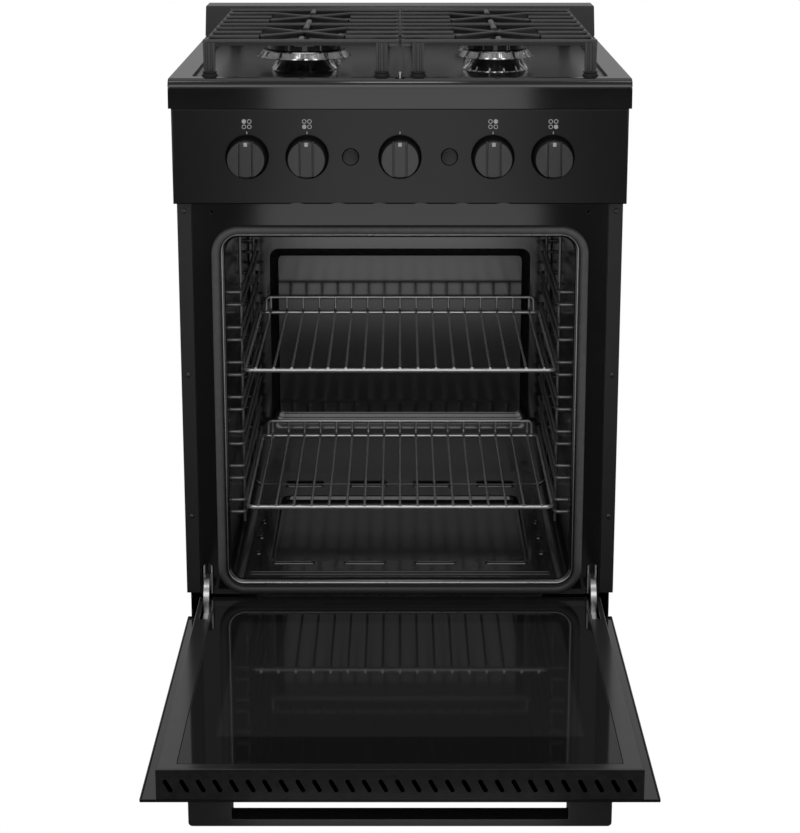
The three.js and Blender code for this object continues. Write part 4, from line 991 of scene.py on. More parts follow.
def buildKnobShape():
    k = knob
    body = softLathe([(0, 0.6), (k["rimRadius"], 0.6), (k["rimRadius"], k["depth"] - 2.2),
                      (k["rimRadius"] - 2, k["depth"]), (0, k["depth"])], 0.9, 72, 3)
    tools = []
    # the face falls away in a step on both sides of the grip bar
    far = k["grip"] + k["groove"]
    for sign in (-1, 1):
        for near, end, deep in ((k["grip"], far, k["grooveDepth"]), (far - 0.2, 30, k["step"])):
            tools.append(block(onSide(sign, near, end), (-30, 30), (k["depth"] - deep, k["depth"] + 1)))
    tools.append(lathe([(k["bore"], -1), (k["bore"], 18)], 24))
    return bevelEdges(boolean(body, tools), 0.45, 2, 50)


def buildSkirtShape():
    # a collar round the knob's foot; its finish is made near-black with almost no reflection, as painted
    # shade
    k = knob
    return softLathe([(k["rimRadius"] - 1, 0), (k["skirt"] - 1.2, 0), (k["skirt"], 0.9), (k["skirt"], 2.2),
                      (k["skirt"] - 2.2, k["skirtHeight"]), (k["rimRadius"] - 1, k["skirtHeight"]),
                      (k["rimRadius"] - 1, 0)], 0.5, 72, 2)


knobShape = buildKnobShape()
skirtShape = buildSkirtShape()


def onPanel(body):
    # a control's own place: its foot on the panel, looking out
    return shiftBy(middleOf(body)[0], span(body)[1].y, panel["controlZ"]) @ facing


def buildKnob(name):
    k = knob
    body = "knob_" + name
    place = onPanel(body)
    addPiece(body + "_cap", copyOf(knobShape), "knobPlastic", body, [body], 35, place)
    addPiece(body + "_collar", copyOf(skirtShape), "collarShade", body, (), 35, place)
    half = k["markWidth"] / 2
    upper = k["rimRadius"] - 1.6
    mark = block((-half, half), (upper - k["markLength"], upper), (k["depth"] - 0.4, k["depth"] + 0.12))
    addPiece(body + "_pointer", bevelEdges(mark, 0.1, 1), "printWhite", body, (), 35, place)


for knobName in knobNames:
    buildKnob(knobName)

button = {"radius": 11, "stem": 3, "stemLength": 27, "dish": 0.9, "edge": 0.6}


def buildButton(side):
    b = button
    body = "button_" + side
    low, high = span(body)
    length = high.y - low.y
    shape = softLathe([(0, 0), (b["stem"], 0), (b["stem"], b["stemLength"]), (b["radius"], b["stemLength"]),
                       (b["radius"], length - 1.2), (b["radius"] - 1.4, length),
                       (b["radius"] - 2.6, length - 0.2), (0, length - b["dish"])], b["edge"], 40, 3)
    addPiece(body + "_cap", shape, "buttonPlastic", body, [body], 35, onPanel(body))


for side in ("left", "right"):
    buildButton(side)

marks = {"pitch": 7, "outer": 2.9, "inner": 2, "height": 854.2, "thick": 0.14,
         "tickWidth": 1.3, "tickLow": 841.2, "tickHigh": 844.4}


def buildMarks():
    # four small rings over each burner knob, the solid one telling which burner it works
    m = marks
    y = panel["face"] + 0.01
    solid = {"rear_left": (-1, 1), "front_left": (-1, -1), "rear_right": (1, 1), "front_right": (1, -1)}
    shapes = []
    for name, filled in solid.items():
        for dx, dz in ((-1, -1), (-1, 1), (1, -1), (1, 1)):
            hole = 0 if (dx, dz) == filled else m["inner"]
            profile = [(hole, 0), (m["outer"], 0), (m["outer"], m["thick"]), (hole, m["thick"])]
            ring = lathe(profile + profile[:1] if hole else profile, 28)
            if hole:
                bmesh.ops.holes_fill(ring, edges=ring.edges, sides=4)
            x = middleOf("knob_" + name)[0] + dx * m["pitch"] / 2
            shapes.append(moved(ring, shiftBy(x, y, m["height"] + dz * m["pitch"] / 2) @ facing))
    deep, height = (panel["face"] - m["thick"], y), (m["tickLow"], m["tickHigh"])
    for name in knobNames:
        x, half = middleOf("knob_" + name)[0], m["tickWidth"] / 2
        shapes.append(block((x - half, x + half), deep, height))
    addPiece("panel_marks", shapes, "printWhite", "body", (), 35)


buildMarks()
print("control panel, knobs and buttons built")

# Front panel, oven cavity, gasket and oven floor.

oven = {
    "halfWidth": 237, "bottom": 205, "top": 694, "front": 51.8, "back": 492, "corner": 20, "backRound": 3,
    "flangeX": 261, "flangeTop": 718, "flangeBottom": 184.3, "sheet": 1.5, "lip": 5,
    "recessX": 202.5, "recessBottom": 303, "recessTop": 590, "recessDepth": 12, "recessCorner": 14,
    "openX": 195, "openY": (119, 437.5), "lampHole": 26.2,
}


def frontLoop(half, bottom, top, corner, y, inset=0, steps=8):
    # a rounded rectangle that faces the front, drawn in by an inset
    outline = roundedRect(inset - half, half - inset, bottom + inset, top - inset, corner - inset, steps)
    return onAxis(outline, "y", y)


def cavityLoop(inset, y):
    o = oven
    corner = max(o["corner"], inset + 3)
    return frontLoop(o["halfWidth"], o["bottom"], o["top"], corner, y, inset)


def buildLiner():
    o = oven
    front, back, lip = o["front"], o["back"], o["lip"]
    loops = [frontLoop(o["flangeX"], o["flangeBottom"], o["flangeTop"], o["corner"], front)]
    loops += [cavityLoop(-lip + lip * sin(radians(a)), front + lip - lip * cos(radians(a)))
              for a in (0, 15, 30, 45, 60, 75, 90)]
    r = o["backRound"]
    loops += [cavityLoop(r - r * cos(radians(a)), back - r + r * sin(radians(a)))
              for a in (0, 22, 45, 67, 90)]
    depth = o["recessDepth"]

    def pocket(inset, y):
        corner = max(o["recessCorner"] - inset * 0.4, 4)
        low, high = o["recessBottom"] + 1.3 * inset, o["recessTop"] - 0.7 * inset
        return frontLoop(o["recessX"] - 0.7 * inset, low, high, corner, back + y)

    # three shallow steps lead down to the recessed panel: inset and depth at each fold
    steps = [(-3.5, 0), (-2.2, 0.2), (-1, 0.6), (0, 1.2), (4.2, 3.1), (4.8, 4.7), (5.4, 5), (9.6, 6.9),
             (10.2, 8.5), (10.8, 8.8), (14, 10.2), (15, depth - 0.8), (16.5, depth)]
    loops += [pocket(*step) for step in steps]
    shell = loft(loops, capFirst=False, capLast=True)
    # the loops run from the flange inwards, so the visible side faces the cavity
    middle = Vector((0, 200, 450))
    face = max(shell.faces, key=lambda f: f.calc_area())
    if face.normal.dot(middle - face.calc_center_median()) < 0:
        bmesh.ops.reverse_faces(shell, faces=shell.faces)
    shell = thickened(shell, o["sheet"], True)
    lampHole = drill(o["lampHole"], o["top"] - 3, o["top"] + 4, 32, shiftBy(*middleOf("oven_lamp"), 0))
    # the liner's floor is open under the sunk plate
    opening = block((-o["openX"], o["openX"]), o["openY"], (o["bottom"] - 5, o["bottom"] + 1))
    addPiece("oven_cavity", boolean(shell, [lampHole, opening]), "ovenEnamel", "body",
             ["oven_liner"], 25)


buildLiner()

mouthTrim = {"outer": 242.4, "bottom": 199.6, "top": 699.4, "corner": 24, "bead": 1.2, "y": 50.4}


def buildMouthTrim():
    # a bright bead runs round the oven mouth inside the gasket
    m = mouthTrim
    r = m["bead"]
    loops = []
    for a in range(0, 360, 45):
        inset, y = r - r * cos(radians(a)), m["y"] + r * sin(radians(a))
        loops.append(frontLoop(m["outer"], m["bottom"], m["top"], m["corner"], y, inset, 10))
    addPiece("oven_mouth_bead", loft(loops, closed=True), "hingeMetal", "body", (), 50)


buildMouthTrim()

frontFrame = {
    "face": 50, "sheet": 1.5, "halfWidth": 280.7, "bottom": 184, "top": 747.7, "lap": 6.5,
    "slotX": 270, "slotHalf": 8, "slotTop": 228, "slotChamfer": 4, "holeX": 253.5, "holeZ": 729.6,
    "holeRadius": 1.9, "edge": 0.5,
}


def buildFrontFrame():
    f, o = frontFrame, oven
    back = f["face"] + f["sheet"]
    y = (f["face"] - 2, back + 2)
    plate = block((-f["halfWidth"], f["halfWidth"]), (f["face"], back), (f["bottom"], f["top"]))
    lap = f["lap"]
    opening = prism(roundedRect(-o["halfWidth"] - lap, o["halfWidth"] + lap, o["bottom"] - lap,
                                o["top"] + lap, o["corner"] + lap, 10), "y", *y)
    tools = [opening]
    for sign in (-1, 1):
        x, half, top, cut = sign * f["slotX"], f["slotHalf"], f["slotTop"], f["slotChamfer"]
        outline = [(x - half, 170), (x + half, 170), (x + half, top - cut), (x + half - cut, top),
                   (x - half + cut, top), (x - half, top - cut)]
        tools.append(prism(outline, "y", *y))
        place = shiftBy(sign * f["holeX"], f["face"], f["holeZ"])
        tools.append(drill(f["holeRadius"], -4, 4, 20, place @ facing))
    shape = bevelEdges(boolean(plate, tools), f["edge"], 2, 50)
    addPiece("front_panel", shape, "glossPanel", "body", ["front_frame"], 25)


buildFrontFrame()

gasket = {"x": 255, "bottom": 186, "top": 711, "corner": 38, "width": 11.6, "back": 49.7, "depth": 8.4,
          "low": 200, "high": 240, "shade": 0.3}


def buildGasket():
    g = gasket
    half = g["width"] / 2
    section = [(0.2, 0), (g["width"] - 0.2, 0), (g["width"] - 1.2, 2)]
    section += [(half + (half - 0.4) * cos(radians(a)), g["depth"] - 3.6 + 3.6 * sin(radians(a)))
                for a in range(0, 181, 22)]
    section += [(1.2, 2)]
    loops = [frontLoop(g["x"], g["bottom"], g["top"], g["corner"], g["back"] - rise, inset, 10)
             for inset, rise in section]
    # painted shade: the gasket rubber darkens towards its bottom, standing in for the shadow there
    paintShadeBelow(finishes["gasketRubber"], g["low"] * mm, g["high"] * mm, g["shade"])
    addPiece("gasket_bulb", loft(loops, closed=True), "gasketRubber", "body",
             ["door_gasket"], 50)


buildGasket()

ovenFloor = {
    "halfWidth": 217, "front": 56, "back": 491.7, "top": 206.8, "sheet": 1.5, "sinkX": 186,
    "sinkFront": 128, "sinkBack": 432, "sink": 7, "slope": 3, "sinkCorner": 16, "holeX": 206,
    "holeFront": 160, "holePitch": 70, "holes": 4, "holeRadius": 5, "slotLength": 57, "slotWidth": 6,
    "slotStarts": (50.5, 152.5), "slotFront": 116.5, "slotBack": 481.7,
    "ribReach": 212, "ribFronts": (66, 76), "ribWidth": 3.4, "ribHeight": 1.5,
    "lip": ((2, -0.1), (1.5, 1.2), (0.9, 1.4), (0.4, 1.2), (0.1, -0.1)),
}


def buildOvenFloor():
    f = ovenFloor
    top = f["top"]

    def ring(grow, z, corner):
        return onAxis(roundedRect(-f["sinkX"] - grow, f["sinkX"] + grow, f["sinkFront"] - grow,
                                  f["sinkBack"] + grow, corner, 8), "z", z)

    outer = onAxis(roundedRect(-f["halfWidth"], f["halfWidth"], f["front"], f["back"], 3, 8), "z", top)
    corner, slope, sink = f["sinkCorner"], f["slope"], f["sink"]
    loops = [outer, ring(2, top, corner + 2), ring(0.6, top - 0.4, corner), ring(-0.6, top - 1.2, corner - 1),
             ring(0.8 - slope, top - sink + 1, corner - 5), ring(-slope - 0.6, top - sink + 0.2, corner - 6),
             ring(-slope - 3, top - sink, corner - 7)]
    sheetTop = loft(loops, capFirst=False)
    face = max(sheetTop.faces, key=lambda g: g.calc_area())
    if face.normal.z < 0:
        bmesh.ops.reverse_faces(sheetTop, faces=sheetTop.faces)

    def slot(x, y, grow):
        return longHole(x, y, f["slotLength"] + 2 * grow, f["slotWidth"] + 2 * grow)

    tools, lips = [], []
    for sign in (-1, 1):
        place = shiftBy(sign * f["holeX"], f["holeFront"], 0)
        hole = drill(f["holeRadius"], top - 4, top + 2, 24, place)
        tools.append(inRow(hole, f["holes"], (0, f["holePitch"], 0), "ovenEnamel"))
        for x in f["slotStarts"]:
            for y in (f["slotFront"], f["slotBack"]):
                tools.append(prism(slot(sign * x, y, 0), "z", top - 4, top + 2))
                lips.append(loft([onAxis(slot(sign * x, y, grow), "z", top + rise)
                                  for grow, rise in f["lip"]], closed=True))
    shape = boolean(thickened(sheetTop, f["sheet"]), tools)
    # two low ribs stiffen the front edge, and low lips stand round the holes and slots
    reach, height = f["ribReach"], (top - 0.3, top + f["ribHeight"])
    ribs = [bevelEdges(block((-reach, reach), (y, y + f["ribWidth"]), height), 0.8, 2)
            for y in f["ribFronts"]]
    collar = loft([onAxis(arc(0, 0, f["holeRadius"] + grow, 0, 345, 23), "z", top + rise)
                   for grow, rise in f["lip"]], closed=True)
    for sign in (-1, 1):
        first = copyOf(collar, shiftBy(sign * f["holeX"], f["holeFront"], 0))
        ribs.append(inRow(first, f["holes"], (0, f["holePitch"], 0), "ovenEnamel"))
    addPiece("oven_floor_plate", [shape, *ribs, *lips], "floorEnamel", "body",
             ["oven_floor"], 25)


buildOvenFloor()
print("front panel, oven, gasket and floor built")

# Rack ladders and racks.

ladder = {
    "x": 218, "wallX": 236.6, "front": 80, "back": 452, "lowest": 296.2, "pitch": 49.8, "levels": 7,
    "pair": 17.7, "wire": 2.5, "bend": 6, "uprightX": 222.6, "uprights": (130, 402),
    "uprightDrop": 30, "top": 686, "foot": 4.6, "footX": 236.9,
}


def buildLadder(side):
    l = ladder
    sign = -1 if side == "left" else 1
    x, wall = sign * l["x"], sign * l["wallX"]
    z = l["lowest"]
    rungs = [[(wall, l["front"], h), (x, l["front"], h), (x, l["back"], h), (wall, l["back"], h)]
             for h in (z, z + l["pair"])]
    wire = wires(rungs, l["wire"], l["bend"], "rungWire")
    shapes = [inRow(wire, l["levels"], (0, 0, l["pitch"]), "rungWire")]
    post = sign * l["uprightX"]
    posts = [[(post, y, z - l["uprightDrop"]), (post, y, l["top"])] for y in l["uprights"]]
    shapes.append(wires(posts, l["wire"], 0, "rungWire"))
    # a small weld foot closes each wire on the oven wall
    radius = l["foot"] - 1.5
    foot = softLathe([(0, 0), (radius, 0), (radius, 1), (2.6, 1.8), (0, 1.8)], 0.4, 16, 2)
    moved(foot, shiftBy(sign * l["footX"], 0, z) @ turnBy(-90 * sign, "Y"))
    for y in (l["front"], l["back"]):
        for h in (0, l["pair"]):
            first = copyOf(foot, shiftBy(0, y, h))
            shapes.append(inRow(first, l["levels"], (0, 0, l["pitch"]), "rungWire"))
    addPiece("rack_ladder_" + side, shapes, "rungWire", "body",
             ["ladder_" + side], 60)


for side in ("left", "right"):
    buildLadder(side)

rack = {
    "x": 216, "front": 85, "back": 446, "rail": 3.2, "corner": 10, "wire": 1.9, "wireBend": 7,
    "pitch": 25, "each": 8, "stop": 24, "stopX": 207, "stopWire": 2.3, "stopBend": 6,
}


def buildRack(node):
    k = rack
    x, front, back = k["x"], k["front"], k["back"]
    z = span(node)[0].z + k["rail"]
    frameLoop = [(-x, front, z), (x, front, z), (x, back, z), (-x, back, z)]
    shapes = [wires([frameLoop], k["rail"], k["corner"], "chromeWire", 12, 5, True)]
    # each wire lies on the frame and turns up at the back
    lay, rise = z + k["rail"] * 0.95, z + k["stop"]
    start = -k["pitch"] * k["each"]
    path = [(start, front - 2.8, lay), (start, back - 1.5, lay), (start, back - 1.5, rise)]
    one = wires([path], k["wire"], k["wireBend"], "chromeWire")
    shapes.append(inRow(one, 2 * k["each"] + 1, (k["pitch"], 0, 0), "chromeWire"))
    x = k["stopX"]
    stop = [(-x, back, z), (-x, back, rise), (x, back, rise), (x, back, z)]
    shapes.append(wires([stop], k["stopWire"], k["stopBend"], "chromeWire"))
    addPiece(node + "_wires", shapes, "chromeWire", node, [node], 60)


for node in ("rack_upper", "rack_lower"):
    buildRack(node)
print("ladders and racks built")

# The door, drawn closed and then laid open about its pivot.
# A window or a pane is given as its half width, bottom and top.
door = {
    "pivotY": 45, "pivotZ": 183, "halfWidth": 302, "bottom": 155, "top": 743, "skinDepth": 4,
    "sheet": 1.5, "edge": 1.2, "cutEdge": 0.35, "outerWindow": (195, 333, 603),
    "outerPane": (209, 317, 619), "paneSheet": 3, "paneEdge": 0.5, "windowCorner": 14,
    "linerX": 282.5, "linerFront": 1.8, "linerFace": 41, "linerBottom": 175, "linerTop": 741.2,
    "linerEdge": 1.6, "linerCut": 0.4, "pane": (259, 213, 726), "paneGap": 0.7, "paneCorner": 3,
    "bedLap": 4, "bedGap": 0.3, "bedRim": 0.7, "window": (221.5, 273, 652), "armX": 270,
    "armHalf": 5.6, "armSlot": (152, 262),
}
openDoor = (shiftBy(0, door["pivotY"], door["pivotZ"]) @ turnBy(90, "X")
            @ shiftBy(0, -door["pivotY"], -door["pivotZ"]))


def windowPrism(window, radius, y0, y1, grow=0):
    half, bottom, top = window
    outline = roundedRect(-half - grow, half + grow, bottom - grow, top + grow, radius, 8)
    return prism(outline, "y", y0, y1)


def addDoorPiece(name, shape, paint, node):
    addPiece(name, shape, paint, "door", [node], 25, openDoor)


def buildDoorSkin():
    d = door
    outer = block((-d["halfWidth"], d["halfWidth"]), (0, d["skinDepth"]), (d["bottom"], d["top"]))
    roundFace(outer, 0, d["edge"], True)
    s = d["sheet"]
    inner = block((s - d["halfWidth"], d["halfWidth"] - s), (s, d["skinDepth"] + 1),
                  (d["bottom"] + s, d["top"] - s))
    opening = windowPrism(d["outerWindow"], d["windowCorner"], -1, s + 1)
    shape = bevelEdges(boolean(outer, [inner, opening]), d["cutEdge"], 2, 60)
    addDoorPiece("door_skin_panel", shape, "glossPanel", "door_skin")


def buildDoorLiner():
    d = door
    s, face = d["sheet"], d["linerFace"]
    outer = block((-d["linerX"], d["linerX"]), (d["linerFront"], face), (d["linerBottom"], d["linerTop"]))
    roundFace(outer, face, d["linerEdge"])
    inner = block((s - d["linerX"], d["linerX"] - s), (d["linerFront"] - 1, face - s),
                  (d["linerBottom"] + s, d["linerTop"] + 1))
    # the pane lies in a recess with a bed behind it
    half, low, high = d["pane"]
    lap, floor = d["bedLap"], face - d["paneSheet"] - d["bedGap"]
    recess = windowPrism(d["pane"], d["paneCorner"], floor, face + 1, d["paneGap"])
    bed = block((-half - lap, half + lap), (floor - s, face - d["bedRim"]), (low - lap, high + lap))
    window = windowPrism(d["window"], d["windowCorner"], face - 8, face + 1)
    shell = boolean(boolean(outer, [inner]), [bed], "UNION")
    slots = [block(onSide(sign, d["armX"] - d["armHalf"], d["armX"] + d["armHalf"]),
                   (face - s - 3, face + 1), d["armSlot"]) for sign in (-1, 1)]
    shape = bevelEdges(boolean(shell, [recess, window, *slots]), d["linerCut"], 2, 60)
    addDoorPiece("door_liner_panel", shape, "doorBlack", "door_liner")


def buildDoorPanes():
    d = door
    for side, window, y, paint in (("inner", "pane", d["linerFace"] - d["paneSheet"], "doorGlass"),
                                   ("outer", "outerPane", d["linerFront"], "outerGlass")):
        pane = windowPrism(d[window], d["paneCorner"], y, y + d["paneSheet"])
        addDoorPiece("door_%s_pane" % side, bevelEdges(pane, d["paneEdge"], 2), paint,
                     "door_%s_glass" % side)


vent = {"halfWidth": 282.5, "front": 4.3, "back": 41, "top": 743, "sheet": 1.5, "slots": 29,
        "pitch": 19.2, "length": 18, "width": 5.4, "lean": 29, "middle": 20.6, "bead": (33.6, 36.6),
        "sink": 0.8}  # lean is measured from straight back


def buildVentStrip():
    v = vent
    plate = block((-v["halfWidth"], v["halfWidth"]), (v["front"], v["back"]),
                  (v["top"] - v["sheet"], v["top"]))
    slot = prism(longHole(0, 0, v["length"], v["width"]), "z", -3, 3)
    start = rowStart(v["slots"], v["pitch"])
    moved(slot, shiftBy(start, v["middle"], v["top"]) @ turnBy(90 + v["lean"], "Z"))
    slots = inRow(slot, v["slots"], (v["pitch"], 0, 0), "ventBlack")
    # the sheet is pressed in on both sides of one long bead
    reach = v["halfWidth"] - 3
    pressed = [block((-reach, reach), y, (v["top"] - v["sink"], v["top"] + 1))
               for y in ((v["front"] + 2, v["bead"][0]), (v["bead"][1], v["back"] - 1))]
    shape = bevelEdges(boolean(plate, [slots, *pressed]), 0.3, 1, 60)
    addDoorPiece("door_vent_plate", shape, "ventBlack", "door_vent_strip")


handle = {"halfWidth": 248, "front": -40, "bar": 9, "post": 51, "bottom": 692, "top": 723, "corner": 5,
          "edge": 2.4, "inner": 0.8, "land": -0.3}


def buildHandle():
    h = handle
    half, front, back = h["halfWidth"], h["front"], h["land"]
    outline = arc(-half + h["corner"], front + h["corner"], h["corner"], 180, 270, 10)
    outline += arc(half - h["corner"], front + h["corner"], h["corner"], 270, 360, 10)
    outline += [(half, back), (half - h["post"], back)]
    inner = h["inner"]
    outline += arc(half - h["post"] - inner, front + h["bar"] + inner, inner, 0, -90, 6)
    outline += arc(-half + h["post"] + inner, front + h["bar"] + inner, inner, 270, 180, 6)
    outline += [(-half + h["post"], back), (-half, back)]
    grip = prism(outline, "z", h["bottom"], h["top"])
    addDoorPiece("door_grip", bevelEdges(grip, h["edge"], 3, 50), "handleBlack", "door_handle")


windowLow, windowHigh = door["window"][1:]
doorReach = door["pivotY"] + door["pivotZ"]  # an open door's height above the floor turned into depth
glassWindow = {
    "halfWidth": door["window"][0] * mm,
    "middle": closedFace + (doorReach - (windowLow + windowHigh) / 2) * mm,
    "halfDepth": (windowHigh - windowLow) / 2 * mm, "soft": 0.004, "mirror": 0.22,
}


def glassFinish(name, border, window, roughness):
    # opaque dark glass, a shade lighter where the clear window lies
    material = finish(name, border, roughness, smudge=0.03, smudgeScale=3, bump=0.01, scale=300,
                      coarse=12)
    tree = material.node_tree
    surface = tree.nodes["Principled BSDF"].inputs
    base = surface["Base Color"].links[0].from_socket
    tree.links.new(colourBlend(tree, windowMask(tree, glassWindow), base, window), surface["Base Color"])
    # a pane met by light already mirrored once adds no second mirror image
    surface["Specular IOR Level"].default_value = glassWindow["mirror"]
    path = addNode(tree, "ShaderNodeLightPath").outputs
    level = mapped(tree, path["Is Glossy Ray"], 0, 1, glassWindow["mirror"], 0)
    tree.links.new(level, surface["Specular IOR Level"])
    return material


finishes["doorGlass"] = glassFinish("dark door glass", 0.009, 0.018, 0.05)
finishes["outerGlass"] = glassFinish("outer door glass", 0.002, 0.004, 0.03)

buildDoorSkin()
buildDoorLiner()
buildDoorPanes()
buildVentStrip()
buildHandle()
print("door built")

# Hinges, screws, side panels and feet.
screw = {"radius": 3.6, "height": 1.5, "slot": 0.9, "slotDepth": 0.9, "x": 291, "heights": (299, 503, 731)}


def screwShape():
    s = screw
    radius, height = s["radius"], s["height"]
    head = softLathe([(0, -0.4), (radius, -0.4), (radius, 0.5), (radius * 0.68, height - 0.1), (0, height)],
                     0.5, 20, 2)
    reach, half = s["radius"] * 0.55, s["slot"] / 2
    low = s["height"] - s["slotDepth"]
    cross = [block((-reach, reach), (-half, half), (low, 3)), block((-half, half), (-reach, reach), (low, 3))]
    return boolean(head, cross)


hinge = {"edge": 0.9, "rivets": (42, 88), "rivetZ": 156, "rivetRadius": 4.2, "rivetHalf": 4.6}


def buildHinge(side):
    h = hinge
    arm = bevelEdges(fromNode("hinge_arm_" + side), h["edge"], 2, 40)
    sign = -1 if side == "left" else 1
    radius, half = h["rivetRadius"], h["rivetHalf"]
    rivets = []
    for reach in h["rivets"]:
        head = softLathe([(0, -half), (radius, -half), (radius, half), (0, half)], 0.9, 20, 2)
        place = shiftBy(sign * door["armX"], door["pivotY"] - reach, h["rivetZ"])
        rivets.append(moved(head, place @ turnBy(90 * sign, "Y")))
    addPiece("hinge_arm_plate_" + side, [arm, *rivets], "hingeMetal", "door",
             ["hinge_arm_" + side], 30)


def buildSidePanel(side):
    shell = bevelEdges(fromNode("side_panel_" + side), 0.9, 3, 50)
    addPiece("side_" + side, shell, "bodyPaint", "body", ["side_panel_" + side], 25)


for side in ("left", "right"):
    buildHinge(side)
    buildSidePanel(side)
places = [(sign * screw["x"], frontFrame["face"], z) for sign in (-1, 1) for z in screw["heights"]]
screws = atPoints(moved(screwShape(), facing), places, "screwSteel")
addPiece("flange_screws", screws, "screwSteel", "body", (), 35)

kick = {"halfWidth": 300, "face": 8, "back": 49.7, "bottom": 42, "top": 126, "sheet": 1.5, "edge": 2.5}


def buildKick():
    k = kick
    outer = block((-k["halfWidth"], k["halfWidth"]), (k["face"], k["back"]), (k["bottom"], k["top"]))
    roundFace(outer, k["face"], k["edge"], True)
    s = k["sheet"]
    inner = block((s - k["halfWidth"], k["halfWidth"] - s), (k["face"] + s, k["back"] + 1),
                  (k["bottom"] + s, k["top"] - s))
    addPiece("kick_plate", boolean(outer, [inner]), "glossPanel", "body", ["kick_panel"], 25)


buildKick()

foot = {"pad": 19, "padHeight": 10, "stud": 5, "collar": 12, "thread": 1.5, "threadDepth": 0.5,
        "nutFoot": 2, "nutTop": 8, "nutEdge": 0.8, "lockLift": 9.5}


def buildFoot(node):
    f = foot
    place, top = shiftBy(*middleOf(node), 0), span(node)[1].z
    base, radius, collar, stud = f["padHeight"], f["pad"], f["collar"], f["stud"]
    pad = softLathe([(0, 0), (radius - 1.5, 0), (radius, 2), (radius - 1, base - 2), (collar, base),
                     (collar, base + 3), (0, base + 3)], 1, 40, 3)
    addPiece(node + "_pad", pad, "footRubber", "body", [node], 35, place)
    low, high, edge = base + f["nutFoot"], base + f["nutTop"], f["nutEdge"]
    turns, z = [], high
    while z < top - f["thread"]:
        turns += [(stud - f["threadDepth"], z), (stud, z + f["thread"] / 2)]
        z += f["thread"]
    rod = lathe([(0, base), (stud - 0.5, base), *turns, (stud - 1, top), (0, top)], 24)
    # a six-sided nut stands on the pad, and a second one locks it
    nut = lathe([(0, low), (collar - 1.5, low), (collar - 0.6, low + edge), (collar - 0.6, high - edge),
                 (collar - 1.5, high), (0, high)], 6)
    lock = copyOf(nut, shiftBy(0, 0, f["lockLift"]))
    addPiece(node + "_stud", [rod, nut, lock], "screwSteel", "body", (), 30, place)


for node in ("foot_front_left", "foot_front_right", "foot_back_left", "foot_back_right"):
    buildFoot(node)

rear = {"halfWidth": 300, "front": 644.5, "back": 646, "bottom": 30, "top": 912.2, "louvres": 9,
        "pitch": 16, "height": 6, "x": (0, 150), "first": 850, "inletX": -230, "inletZ": 840,
        "inletRadius": 20, "ribDepth": 2.2, "ribWidth": 14, "ribReach": 250,
        "ribHeights": (180, 330, 480, 630)}


def buildRear():
    # louvres are pressed inwards, so nothing stands out towards the wall
    r = rear
    front, back, (left, right), z = r["front"], r["back"], r["x"], r["first"]
    plate = block((-r["halfWidth"], r["halfWidth"]), (front, back), (r["bottom"], r["top"]))
    vent = block((left, right), (front - 1, back + 1), (z - r["height"], z))
    hood = prism([(back, z), (back, z + 0.9), (front - 7, z - 5.2), (front - 6.6, z - 6)],
                 "x", left + 2, right - 2)
    vents, hoods = (inRow(shape, r["louvres"], (0, 0, -r["pitch"]), "zincSheet") for shape in (vent, hood))
    inlet = drill(r["inletRadius"], -1, 3, 32, shiftBy(r["inletX"], back + 1, r["inletZ"]) @ facing)
    shell = boolean(plate, [vents, inlet])
    face, deep, half = front + 0.2, front - r["ribDepth"], r["ribWidth"] / 2
    ribs = [prism([(face, z - half), (deep, z - half / 2), (deep, z + half / 2), (face, z + half)],
                  "x", -r["ribReach"], r["ribReach"]) for z in r["ribHeights"]]
    addPiece("rear_panel", [bevelEdges(shell, 0.35, 1, 60), hoods, *ribs], "zincSheet", "body",
             ["back_panel"], 30)


buildRear()

lamp = {"cage": 26, "shade": 22, "body": 20, "flange": 31, "rise": 20, "ribs": 16, "ribHalf": 0.9,
        "ribDrop": (4.6, 1.6)}


def buildLamp():
    l = lamp
    z, cage, shade = oven["top"], l["cage"], l["shade"]  # z is the oven's ceiling
    ring = softLathe([(0, z - 2), (cage - 2, z - 2), (cage, z - 3.4), (l["flange"], z - 2.4),
                      (l["flange"], z - 0.2), (l["body"], z + 1.6), (l["body"], z + l["rise"]),
                      (0, z + l["rise"])], 0.8, 48, 3)
    foot = span("oven_lamp")[0].z + 0.3
    bowl = [(0, foot), (shade * 0.7, foot), (shade, z - 2.6), (shade, z - 1), (0, z - 1)]
    glass = softLathe(bowl, 3, 48, 5)
    low, high = l["ribDrop"]
    rib = block((shade - 3.2, shade + 0.5), (-l["ribHalf"], l["ribHalf"]), (z - low, z - high))
    bevelEdges(rib, 0.4, 1)
    addPiece("lamp_cover", [glass, ring, inRing(rib, l["ribs"], "lampGlass")], "lampGlass",
             "body", ["oven_lamp"], 35, shiftBy(*middleOf("oven_lamp"), 0))


buildLamp()
print("hinges, side panels, feet, rear and lamp built")

# Parts that stay as the frame has them, in their own finish.
kept = {
    "zincSheet": ["base_pan", "burner_support_front", "burner_support_rear", "switch_bracket", "oven_burner",
                  "burner_tray", "hinge_housing_left", "hinge_housing_right", "oven_thermostat"],
    "valveBrass": ["gas_manifold"],
    "hingeMetal": ["stem_" + name for name in knobNames],
}
for key, names in kept.items():
    for name in names:
        nodes[name].data.materials.clear()
        nodes[name].data.materials.append(finishes[key])

